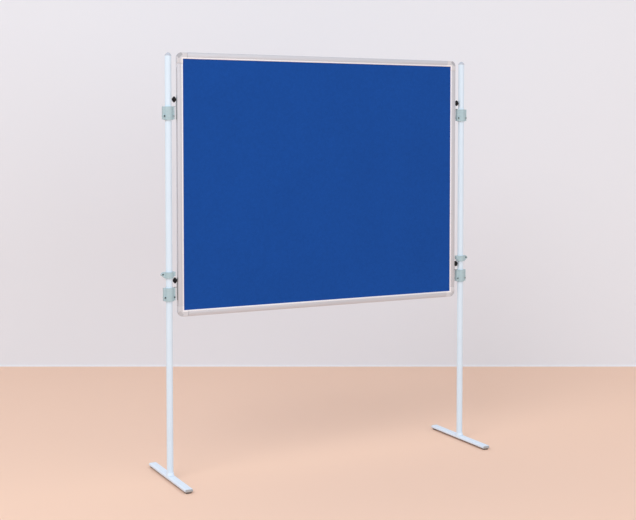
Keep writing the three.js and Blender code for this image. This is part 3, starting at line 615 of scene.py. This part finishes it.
def end_plastic():
    """Pale moulding whose flat end face is a duller grey inside its rounded rim."""
    f = Finish("end_finish", 0.5, Specular_IOR_Level=0.4)
    parts = f.split()
    across = f.size_of(f.minus(f.size_of(parts["X"]), POST_X * MM))
    sideways = f.maths("MAXIMUM", f.minus(across, (FOOT_WIDTH / 2 - FOOT_ROUND - 0.5) * MM), 0)
    upward = f.minus(parts["Z"], FOOT_MIDDLE * MM)
    off = f.maths("ADD", f.maths("POWER", sideways, 2), f.maths("POWER", upward, 2))
    off = f.maths("SQRT", off, 0)
    along = f.minus(FOOT_LENGTH / 2 * MM, f.size_of(parts["Y"]))
    centimetres = 100
    rim = f.steps(f.times(off, centimetres), [(0.52, BLACK), (0.70, WHITE)])
    head = f.steps(f.times(along, centimetres), [(0.10, WHITE), (0.26, BLACK)])
    pale = f.tones(f.noise(80, 3), *END_RIM_TONES)
    dull = f.tones(f.noise(120, 3), *END_FACE_TONES)
    tone = f.mix(f.times(head, f.minus(1.0, rim)), pale, dull)
    # Painted shade: the glide is coloured dark to stand for the shade under the foot end.
    glide = f.maths("LESS_THAN", parts["Z"], (FOOT_LIFT - 0.2) * MM)
    # Painted shade towards the floor on the rim and face.
    f.colour(f.mix(glide, low_painted_shade(f, tone), GLIDE_SHADE_TONE))
    f.rough(f.spread(f.noise(160, 3), 0.46, 0.6))
    f.bump(f.noise(1400, 2), 0.16, 0.0002)
    return f.material


def raw_board():
    f = Finish("board_finish", 0.9)
    f.colour(f.tones(f.noise(1.0, 4, 0.6, f.stretched((700, 700, 120))), *BOARD_TONES))
    f.bump(f.noise(900, 3), 0.3, 0.0004)
    return f.material


COAT = powder_coat("post_coat_finish", COAT_TONE)
# Painted light and shade: the feet's coat is the post coat painted lighter for the light on their
# tops, with painted shade towards the floor.
FOOT_COAT_LIT_AND_SHADED = powder_coat("foot_coat_lit_shaded_finish", FOOT_LIT_TONE, painted_underside=True)
CAP = moulded("cap_finish", CAP_TONE, 0.45)
CORNER = corner_plastic()
END = end_plastic()
CLAMP = moulded("clamp_finish", CLAMP_TONE, 0.4, clouding=0.07)
KNOB = moulded("knob_finish", KNOB_TONE, 0.5, grain=1100, clouding=0.2, specular=0.25)
RAIL_X = brushed("rail_finish_level", "X", RAIL_TONE, 0.45)
RAIL_Z = brushed("rail_finish_upright", "Z", RAIL_TONE, 0.45)
FELT = felt()
STEEL = plated("plated_steel_finish", STEEL_TONE)
DARK_STEEL = plated("dark_steel_finish", DARK_STEEL_TONE, 0.5)
BOARD = raw_board()

SLOT_FINISH = {
    "powder_coat": COAT, "cap_plastic": CAP, "aluminium": RAIL_Z, "corner_plastic": CORNER,
    "end_plastic": END, "clamp_plastic": CLAMP, "felt": FELT, "board": BOARD, "steel": STEEL,
    "knob_plastic": KNOB,
}
for entry in frame["record"]["subparts"]:
    node = NODES[entry["node"]]
    for material_slot in node.material_slots:
        material_slot.material = SLOT_FINISH[entry["material_slot"]]


# ---- Panel: origin in the middle of the panel ----

PANEL_AT = Matrix.Translation((0, 0, PANEL_MID))


def rail_outline():
    """u from the outer side to the felt, v from back to front, anticlockwise."""
    lip = RAIL_FACE - RAIL_LIP
    half = (
        [(0.0, SLOT_MOUTH / 2 + 0.3), (0.0, RAIL_SIDE)]
        + curve2((0.0, RAIL_SIDE), (0.0, RAIL_FLAT), (RAIL_EDGE, RAIL_FLAT), 8)[1:]
        + curve2((RAIL_EDGE, RAIL_FLAT), ((RAIL_EDGE + lip) / 2, 9.6), (lip, RAIL_FLAT), 10)[1:]
        + [(lip + 0.25, 8.1), (lip + 0.3, 7.4)]
        + curve2((lip + 0.6, 7.2), (lip + 4.6, RAIL_FLAT), (RAIL_FACE - 0.8, 6.9), 8)
        + [(RAIL_FACE - 0.25, 6.6), (RAIL_FACE, 6.1)]
        + [(RAIL_FACE, CHANNEL_HALF), (CHANNEL_FLOOR, CHANNEL_HALF)]
    )
    other = [(u, -v) for u, v in reversed(half)]
    slot = [
        (0.3, -SLOT_MOUTH / 2), (SLOT_LIP, -SLOT_MOUTH / 2), (SLOT_LIP, -SLOT_WIDTH / 2),
        (SLOT_DEPTH, -SLOT_WIDTH / 2), (SLOT_DEPTH, SLOT_WIDTH / 2), (SLOT_LIP, SLOT_WIDTH / 2),
        (SLOT_LIP, SLOT_MOUTH / 2), (0.3, SLOT_MOUTH / 2),
    ]
    return half + other + slot


def upright_rail():
    end = PANEL_H / 2 - CORNER_LEG - JOINT_GAP
    mesh = solid(prism(rail_outline(), -end, end))
    entry = box((-1, -SLOT_WIDTH / 2, end - 18), (SLOT_LIP + 1, SLOT_WIDTH / 2, end + 1))
    mesh = carve(mesh, [entry])
    mesh.transform(Matrix.Translation((-PANEL_W / 2, 0, 0)))
    return mesh


def level_rail():
    end = PANEL_W / 2 - CORNER_LEG - JOINT_GAP
    verts, faces = prism(rail_outline(), -end, end)
    return solid(([(along, v, PANEL_H / 2 - u) for u, v, along in verts], faces))


def corner():
    """Upper right corner: a moulding with soft edges and a sloping facet on its outer corner."""
    right, top = PANEL_W / 2, PANEL_H / 2
    inner = 1.5
    outline = (
        [(right - CORNER_LEG, top - RAIL_FACE)]
        + arc(right - RAIL_FACE - inner, top - RAIL_FACE - inner, inner, 90, 0, 3)
        + [(right - RAIL_FACE, top - CORNER_LEG), (right, top - CORNER_LEG)]
        + arc(right - CORNER_RADIUS, top - CORNER_RADIUS, CORNER_RADIUS, 0, 90, 20)
        + [(right - CORNER_LEG, top)]
    )
    rings, steps = [], 6
    for step in range(steps + 1):
        turn = math.radians(90 * step / steps)
        cut = inset(outline, CORNER_BEVEL * (1 - math.sin(turn)))
        depth = RAIL_HALF - CORNER_BEVEL + CORNER_BEVEL * math.cos(turn)
        rings.append([(x, -depth, z) for x, z in cut])
    back = [[(x, -y, z) for x, y, z in ring] for ring in reversed(rings)]
    mesh = solid(skin(rings + back))
    wedges = []
    beyond, r = 6.0, math.sqrt(0.5)
    over = RAIL_HALF + beyond * FACET_SLOPE
    profile = [(-FACET_REACH - beyond, over),
               (beyond, RAIL_HALF - (beyond + FACET_REACH) * FACET_SLOPE), (beyond, over)]
    for face in (-1, 1):
        verts, faces = prism([(u, face * v) for u, v in profile], -FACET_HALF, FACET_HALF)
        wedges.append(([(right + r * (u - w), v, top + r * (u + w)) for u, v, w in verts], faces))
    past_legs = CORNER_LEG + 30
    channel = box((right - past_legs, -CHANNEL_HALF, top - past_legs),
                  (right - CHANNEL_FLOOR, CHANNEL_HALF, top - CHANNEL_FLOOR))
    mesh = carve(mesh, wedges + [channel])
    tongues = [
        solid(box((right - TONGUE_END, -TONGUE_HALF, top - TONGUE_FAR),
                  (right - TONGUE_START, TONGUE_HALF, top - TONGUE_NEAR))),
        solid(box((right - TONGUE_FAR, -TONGUE_HALF, top - TONGUE_END),
                  (right - TONGUE_NEAR, TONGUE_HALF, top - TONGUE_START))),
    ]
    return merged(rounded(mesh, 0.35, 2, 20), *tongues)


def cloth(face):
    """A felt face held flat in the frame: thin slab with the slight unevenness of needled felt."""
    half_w, half_h = FELT_W / 2, FELT_H / 2
    columns, rows, tucked = 92, 74, 14
    verts, faces = [], []
    for layer in (0, 1):
        for j in range(rows + 1):
            for i in range(columns + 1):
                x = -half_w + 2 * half_w * i / columns
                z = -half_h + 2 * half_h * j / rows
                depth = FELT_BACK
                if layer:
                    edge = min(half_w - abs(x), half_h - abs(z))
                    swell = noise.noise(Vector((x * 0.011, face * 7.0, z * 0.011)))
                    depth = FELT_FACE + 0.05 + 0.14 * swell if edge > tucked else FELT_FACE
                verts.append((x, face * depth, z))
    stride = columns + 1
    top = stride * (rows + 1)
    for j in range(rows):
        for i in range(columns):
            a = j * stride + i
            faces.append((a, a + 1, a + stride + 1, a + stride))
            faces.append((top + a, top + a + stride, top + a + stride + 1, top + a + 1))
    rim = list(range(stride))
    rim += [j * stride + columns for j in range(1, rows + 1)]
    rim += [rows * stride + i for i in range(columns - 1, -1, -1)]
    rim += [j * stride for j in range(rows - 1, 0, -1)]
    for k, a in enumerate(rim):
        b = rim[(k + 1) % len(rim)]
        faces.append((a, b, top + b, top + a))
    return solid((verts, faces))


def build_panel():
    upright, level, moulding = upright_rail(), level_rail(), corner()
    for row, up in (("top", 1), ("bottom", -1)):
        flip = PANEL_AT @ Matrix.Diagonal((1, 1, up, 1))
        piece(f"{row}_rail_profile", placed(level, flip), "panel", RAIL_X,
              [f"{row}_rail"], crease=28)
        for column, side in (("left", -1), ("right", 1)):
            turn = PANEL_AT @ Matrix.Diagonal((side, 1, up, 1))
            piece(f"{row}_{column}_corner_moulding", placed(moulding, turn), "panel", CORNER,
                  [f"{row}_{column}_corner"])
    for column, side in (("left", 1), ("right", -1)):
        flip = PANEL_AT @ Matrix.Diagonal((side, 1, 1, 1))
        piece(f"{column}_rail_profile", placed(upright, flip), "panel", RAIL_Z,
              [f"{column}_rail"], crease=28)
    for name, face in (("front", -1), ("back", 1)):
        felt_piece = piece(f"{name}_felt_cloth", placed(cloth(face), PANEL_AT), "panel", FELT,
                           [f"{name}_felt"], crease=40)


# ---- Posts and feet, in the post's own frame ----

def side_matrix(side, rise=0.0):
    towards = SIDES[side]
    return Matrix.Translation((-towards * POST_X, 0, rise)) @ Matrix.Diagonal((towards, 1, 1, 1))


def post_tube():
    return solid(ring_turned([(TUBE_BORE, TUBE_BOTTOM), (POST_R, TUBE_BOTTOM),
                              (POST_R, TUBE_TOP), (TUBE_BORE, TUBE_TOP)], FINE))


def post_cap():
    seat = TUBE_TOP + 0.2
    cone = [(CAP_R, 1.2), (15.2, 1.8), (14.6, 2.6), (13.6, 3.7), (12.0, 5.8), (10.1, 8.1),
            (7.9, 10.3), (5.4, 12.3), (3.2, 13.4), (1.4, 13.9)]
    profile = (
        [(0, seat - CAP_STEM), (CAP_STEM_R - 1, seat - CAP_STEM), (CAP_STEM_R, seat - CAP_STEM + 3),
         (CAP_STEM_R, seat), (CAP_R - 0.2, seat), (CAP_R, seat + 0.3)]
        + [(r, seat + z) for r, z in cone] + [(0, seat + CAP_RISE)]
    )
    return solid(turned(profile, ROUND))


def foot_saddle():
    """Flared collar over the bar's rounded top, closing round the post."""
    neck = CLAMP_BORE + 1.1
    unit = circle(1, ROUND)
    tuck = [(x, y, 1 - 0.075 * max(0.0, (abs(y) - 0.6) / 0.4)) for x, y in unit]
    rings = [[(SADDLE_X * x * t, SADDLE_Y * y * t, z) for x, y, t in tuck]
             for z in (FOOT_TOP - FOOT_ROUND, FOOT_TOP + 1.2)]
    steps = 14
    for step in range(steps + 1):
        climb = step / steps
        spread = (1 - climb) ** 1.5 * (1 + 0.45 * climb)
        a, b = neck + (SADDLE_X - neck) * spread, neck + (SADDLE_Y - neck) * spread
        z = TUBE_BOTTOM + SADDLE_GAP + SADDLE_RISE * climb
        rings.append([(a * x, b * y, z) for x, y in unit])
    bar = prism_y(foot_section(-JOINT_GAP, 10), -60, 60)
    return carve(solid(skin(rings)), [prism(circle(CLAMP_BORE, ROUND), 0, 50), bar])


def foot_section(shrink, steps):
    return rounded_box(FOOT_WIDTH - 2 * shrink, FOOT_HEIGHT - 2 * shrink, FOOT_ROUND - shrink,
                       steps, 0, FOOT_MIDDLE)


def foot_bar():
    end = FOOT_LENGTH / 2 - END_LENGTH - JOINT_GAP
    mesh = solid(prism_y(foot_section(0, 10), -end, end))
    hollow = prism_y(foot_section(FOOT_WALL, 8), -end - 1, end + 1)
    bolt_hole = prism(circle(4.2, COARSE), FOOT_MIDDLE, FOOT_TOP + 1)
    key_hole = prism(circle(9, MEDIUM), 0, FOOT_MIDDLE)
    return carve(mesh, [hollow, bolt_hole, key_hole])


def foot_end():
    """Front end cap: rounded head, tongue in the bar, and the glide that meets the floor."""
    front = -FOOT_LENGTH / 2
    shoulder = front + END_LENGTH
    rings, steps = [], 7
    for step in range(steps + 1):
        turn = math.radians(90 * step / steps)
        shrink = END_BEVEL * (1 - math.sin(turn))
        y = front + END_BEVEL * (1 - math.cos(turn))
        rings.append([(x, y, z) for x, z in foot_section(shrink, 10)])
    rings.append([(x, shoulder, z) for x, z in foot_section(0, 10)])
    head = solid(skin(rings))
    tongue = solid(prism_y(foot_section(FOOT_WALL + 0.2, 8), shoulder - 1, shoulder + END_TONGUE))
    pad = rounded_box(GLIDE_SIZE, GLIDE_SIZE, 5, 6, 0, front + END_BEVEL + GLIDE_SIZE / 2)
    glide = solid(skin([
        [(x, y, 0.0) for x, y in inset(pad, 0.8)], [(x, y, 0.8) for x, y in pad],
        [(x, y, FOOT_LIFT - 0.3) for x, y in pad],
    ]))
    neck = solid(box((-6.5, front + 4, 1), (6.5, shoulder, FOOT_TOP / 2)))
    return merged(head, tongue, glide, neck)


def socket_bolt(head_r, head_h, shank_r, length, socket):
    """A socket head bolt along +Z with its head's top at 0 and the shank below."""
    head = [(0, -head_h - length), (shank_r * 0.8, -head_h - length),
            (shank_r, -head_h - length + shank_r * 0.3), (shank_r, -head_h), (head_r, -head_h),
            (head_r, -0.5), (head_r - 0.5, 0), (0, 0)]
    mesh = solid(turned(head, MEDIUM))
    hexagon = prism(circle(socket, 6), -head_h * 0.55, 1)
    return carve(mesh, [hexagon])


def build_post(side):
    at = side_matrix(side)
    body = f"{side}_post"
    piece(f"{side}_tube_coated", placed(post_tube(), at), body, COAT,
          [f"{side}_post_tube"], crease=40)
    piece(f"{side}_cap_dome", placed(post_cap(), at), body, CAP,
          [f"{side}_post_cap"], crease=50)
    piece(f"{side}_saddle_dome", placed(foot_saddle(), at), body, FOOT_COAT_LIT_AND_SHADED,
          [f"{side}_foot_saddle"], crease=50)
    piece(f"{side}_bar_shell", placed(foot_bar(), at), body, FOOT_COAT_LIT_AND_SHADED,
          [f"{side}_foot_bar"], crease=30)
    for end, turn in (("front", 1), ("rear", -1)):
        flip = at @ Matrix.Diagonal((1, turn, 1, 1))
        piece(f"{side}_{end}_end_moulding", placed(foot_end(), flip), body, END,
              [f"{side}_foot_{end}_cap"], crease=40)
    head_h = 5
    low = FOOT_TOP - FOOT_WALL - head_h - JOINT_GAP
    upside = at @ Matrix.Translation((0, 0, low)) @ Matrix.Rotation(math.pi, 4, "X")
    piece(f"{side}_foot_bolt_turned", placed(socket_bolt(6.4, head_h, 3.95, 32, 3.4), upside), body,
          STEEL, [f"{side}_foot_bolt"], crease=35)


# ---- Clamps, hangers, knobs and collars ----

def clamp_half():
    """Front half: sleeve, ears, one boss round each bolt, and the pocket for the hanger."""
    beyond = 60.0
    mesh = solid(prism(circle(SLEEVE_R, ROUND), -SLEEVE_FOOT, CLAMP_H))
    ears = prism(rounded_box(2 * EAR_REACH, 2 * EAR_DEPTH, 2.5, 5), 0, CLAMP_H)
    bosses = [tube_y(BOSS_R, x, BOLT_RISE, -BOSS_FACE, -EAR_DEPTH + 1) for x in (-BOLT_X, BOLT_X)]
    mesh = carve(mesh, [ears, *bosses], "UNION")
    cutters = [
        prism(circle(CLAMP_BORE, ROUND), -10, CLAMP_H + 10),
        box((-beyond, -HALF_GAP, -beyond), (beyond, beyond, 2 * CLAMP_H)),
        box((POCKET_IN, -POCKET_HALF, CLAMP_H - POCKET_DEPTH), (POCKET_OUT, 0.5, CLAMP_H + 5)),
    ]
    for x in (-BOLT_X, BOLT_X):
        cutters.append(tube_y(SCREW_HOLE, x, BOLT_RISE, -BOSS_FACE, 0.5, COARSE))
        cutters.append(tube_y(RECESS_R, x, BOLT_RISE, -BOSS_FACE - 2, -BOSS_FACE + RECESS))
    return carve(mesh, cutters)


def clamp_bolt():
    """Along Y at the origin: socket head in front, nut behind."""
    seat, end = BOSS_FACE - RECESS + 0.2, BOSS_FACE - 0.5
    bolt = socket_bolt(SCREW_HEAD_R, end - seat, SCREW_R, 2 * seat + 1, SCREW_SOCKET)
    bolt.transform(Matrix.Translation((0, -end, 0)) @ Matrix.Rotation(math.pi / 2, 4, "X"))
    corners = circle(NUT_R, 6)
    slim = [(x * 0.9, z * 0.9) for x, z in corners]
    nut = solid(skin([
        [(x, seat, z) for x, z in corners], [(x, end - 0.4, z) for x, z in corners],
        [(x, end, z) for x, z in slim],
    ]))
    return merged(bolt, nut)


def hanger():
    """Folded strip: leg on the frame's side, hook over the ear and down into its pocket."""
    near, far, hook = HANGER_NEAR, HANGER_FAR, HOOK_OUT
    thick, soft = far - near, (far - near) / 2
    under, top, tip = CLAMP_H + 0.15, KNOB_RISE + 11, CLAMP_H - 20
    outline = (
        [(near, 0.0), (far, 0.0)]
        + arc(far - soft, top - soft, soft, 0, 90, 3)
        + arc(near + soft, top - soft, soft, 90, 180, 3)
        + [(near, under + thick), (hook, under + thick)]
        + arc(hook, under, thick, 90, 180, 8)[1:]
        + [(hook - thick, tip), (hook, tip), (hook, under), (near, under)]
    )
    mesh = solid(prism_y(outline, -HANGER_HALF, HANGER_HALF))
    return carve(mesh, [tube_x(3.35, 0, KNOB_RISE, 30, 45)])


def knob():
    """Lobed head with a dished face, on a hub and a stud, along +Z from the hanger."""
    length = KNOB_END - KNOB_START
    rows = [
        (5.8, 0.0, 0), (6.0, 0.02, 0), (6.0, 0.12, 0), (7.0, 0.16, 0.1), (9.0, 0.24, 0.4),
        (11.2, 0.31, 0.7), (13.1, 0.38, 0.9), (14.2, 0.44, 1), (14.5, 0.49, 1), (14.5, 0.53, 1),
        (14.2, 0.58, 1), (12.3, 0.69, 0.9), (10.6, 0.78, 0.7), (8.8, 0.87, 0.45), (7.0, 0.94, 0.2),
        (6.1, 0.98, 0), (5.4, 1.0, 0), (4.4, 0.985, 0), (3.4, 0.95, 0), (0.6, 0.94, 0),
    ]
    rings = []
    for radius, along, lobing in rows:
        ring = []
        for x, y in circle(1, FINE):
            wave = (1 - math.cos(KNOB_LOBES * math.atan2(y, x))) / 2
            r = radius * (1 - 0.1 * lobing * wave ** 1.4)
            ring.append((r * x, r * y, KNOB_START + length * along))
        rings.append(ring)
    head = solid(skin(rings))
    stud = solid(turned([(0, -5.9), (2.4, -5.9), (3, -5.2), (3, 4), (0, 4)], COARSE))
    return head, stud


def collar():
    """Ring with a pointed wing outside and a square tab over the knob, split through the wing."""
    tip, height = WING_TIP, COLLAR_H
    wing = [
        (-16.1, 0.0), (-21.0, 0.0), (-28.0, 5.4), (tip + 5.0, 12.0), (tip + 0.4, 15.2),
        (tip, 16.4), (tip + 0.3, 18.2), (tip + 9.5, height), (-16.1, height),
    ][::-1]
    mesh = solid(prism(circle(SLEEVE_R, ROUND), 0, height))
    tab = box((CLAMP_BORE, -EAR_DEPTH, 8.5), (EAR_REACH, EAR_DEPTH, height))
    mesh = carve(mesh, [prism_y(wing, -WING_HALF, WING_HALF), tab], "UNION")
    return carve(mesh, [
        prism(circle(CLAMP_BORE, ROUND), -5, height + 5),
        box((tip - 5, -0.6, -5), (0, 0.6, height + 5)),
        tube_y(SCREW_HOLE, WING_SCREW_X, WING_SCREW_RISE, -10, 10, COARSE),
        tube_y(4.0, WING_SCREW_X, WING_SCREW_RISE, -10, 3.0 - WING_HALF),
    ])


def collar_bolt():
    bolt = socket_bolt(SCREW_HEAD_R, 2.5, SCREW_R, 9.9, SCREW_SOCKET)
    at = Matrix.Translation((WING_SCREW_X, 0.3 - WING_HALF, WING_SCREW_RISE))
    bolt.transform(at @ Matrix.Rotation(math.pi / 2, 4, "X"))
    return bolt


def build_clamps():
    half, bolt, strip = clamp_half(), clamp_bolt(), hanger()
    head, stud = knob()
    to_post = Matrix.Translation((KNOB_X, 0, KNOB_RISE)) @ Matrix.Rotation(-math.pi / 2, 4, "Y")
    for level, rise in CLAMP_Z.items():
        for side in SIDES:
            at = side_matrix(side, rise)
            name = f"{level}_{side}"
            for end, turn in (("front", 1), ("rear", -1)):
                shape = placed(half, at @ Matrix.Diagonal((1, turn, 1, 1)))
                piece(f"{name}_{end}_shell", rounded(shape, 0.45), "panel", CLAMP,
                      [f"{name}_clamp_{end}"])
            for which, x in (("inner", BOLT_X), ("outer", -BOLT_X)):
                reverse = f"{name}_{which}" in NUT_IN_FRONT
                spin = Matrix.Rotation(math.pi * reverse, 4, "Z")
                seat = at @ Matrix.Translation((x, 0, BOLT_RISE)) @ spin
                piece(f"{name}_{which}_screw", placed(bolt, seat), "panel",
                      STEEL if reverse else DARK_STEEL,
                      [f"{name}_{which}_bolt"], crease=35)
            piece(f"{name}_hanger_strip", rounded(placed(strip, at), 0.3), "panel", STEEL,
                  [f"{name}_hanger"])
            shape = placed(merged(head, stud), at @ to_post)
            piece(f"{name}_knob_head", shape, f"{name}_knob", KNOB,
                  [f"{name}_knob"], crease=45)


def build_collars():
    ring, bolt = collar(), collar_bolt()
    for side in SIDES:
        at = side_matrix(side, CLAMP_Z["lower"] + COLLAR_RISE)
        piece(f"{side}_collar_shell", rounded(placed(ring, at), 0.5), f"{side}_collar", CLAMP,
              [f"{side}_lock_collar"])
        piece(f"{side}_collar_screw", placed(bolt, at), f"{side}_collar", DARK_STEEL,
              [f"{side}_collar_bolt"], crease=35)


build_panel()
for name in SIDES:
    build_post(name)
build_clamps()
build_collars()


# ---- Studio ----

CAMERA_AT = Vector((-2.64222, -5.07417, 1.58475))
HEADING, TILT, FOCAL, CENTRE_ROW = 0.47515, 0.04362, 1188.62, 184.0
WIDE, TALL = 636, 520
WALL_DEPTH, WALL_BEND, WALL_HEIGHT, FLOOR_REACH = 7.98, 0.015, 7.0, 14.0
AHEAD = Vector((math.sin(HEADING), math.cos(HEADING), 0))
ACROSS = Vector((math.cos(HEADING), -math.sin(HEADING), 0))


def stage_finish():
    """Pale floor and wall in one sheet, which the camera sees through from behind."""
    f = Finish("studio_finish", 0.9, Specular_IOR_Level=0.1)
    f.colour(f.steps(f.split()["Z"], [(0.001, FLOOR_TONE), (0.004, WALL_TONE)]))
    face = f.nodes.new("ShaderNodeNewGeometry")
    path = f.nodes.new("ShaderNodeLightPath")
    clear = f.nodes.new("ShaderNodeBsdfTransparent")
    choose = f.nodes.new("ShaderNodeMixShader")
    seen = f.times(face.outputs["Backfacing"], path.outputs["Is Camera Ray"])
    f.link(seen, choose.inputs["Fac"])
    f.link(f.shader.outputs["BSDF"], choose.inputs[1])
    f.link(clear.outputs["BSDF"], choose.inputs[2])
    f.link(choose.outputs["Shader"], f.nodes["Material Output"].inputs["Surface"])
    return f.material


def sweep():
    """Pale floor that curves up into a plain wall behind the object."""
    wall, bend = WALL_DEPTH, WALL_BEND
    profile = [(-FLOOR_REACH, 0.0), (wall - bend, 0.0)]
    profile += [(wall - bend + bend * math.sin(t), bend - bend * math.cos(t))
                for t in (math.radians(5 * i) for i in range(1, 19))]
    profile += [(wall, WALL_HEIGHT)]
    verts, faces = [], []
    for depth, height in profile:
        base = CAMERA_AT + AHEAD * depth
        for reach in (-FLOOR_REACH, FLOOR_REACH):
            p = base + ACROSS * reach
            verts.append((p.x, p.y, height))
    for i in range(len(profile) - 1):
        faces.append((2 * i, 2 * i + 1, 2 * i + 3, 2 * i + 2))
    mesh = bpy.data.meshes.new("studio_sweep")
    mesh.from_pydata(verts, [], faces)
    mesh.shade_smooth()
    mesh.materials.append(stage_finish())
    floor = bpy.data.objects.new("studio_sweep", mesh)
    bpy.context.scene.collection.objects.link(floor)


def lamp(name, place, target, size, power, colour):
    light = bpy.data.lights.new(name, "AREA")
    light.shape = "DISK"
    light.size = size
    light.energy = power
    light.color = colour
    obj = bpy.data.objects.new(name, light)
    obj.location = place
    obj.rotation_euler = (Vector(target) - Vector(place)).to_track_quat("-Z", "Y").to_euler()
    bpy.context.scene.collection.objects.link(obj)


def studio():
    sweep()
    middle = (0, 0, 1.0)
    lamp("key", (-5.0, -3.7, 5.9), middle, size=5.0, power=203, colour=(0.97, 0.99, 1.0))
    lamp("fill", (0.6, -6.6, 2.6), middle, size=4.0, power=60, colour=(0.96, 0.98, 1.0))
    world = bpy.data.worlds.new("studio_world")
    world.use_nodes = True
    background = world.node_tree.nodes["Background"]
    background.inputs["Color"].default_value = (0.93, 0.97, 1.0, 1)
    background.inputs["Strength"].default_value = 0.85
    bpy.context.scene.world = world
    data = bpy.data.cameras.new("camera")
    data.sensor_width = 36
    data.lens = FOCAL * data.sensor_width / WIDE
    data.shift_y = -(TALL / 2 - CENTRE_ROW) / WIDE
    data.clip_end = 60
    camera = bpy.data.objects.new("camera", data)
    camera.location = CAMERA_AT
    camera.rotation_euler = (math.pi / 2 - TILT, 0, -HEADING)
    bpy.context.scene.collection.objects.link(camera)
    bpy.context.scene.camera = camera
    bpy.context.scene.view_settings.view_transform = "Standard"


studio()
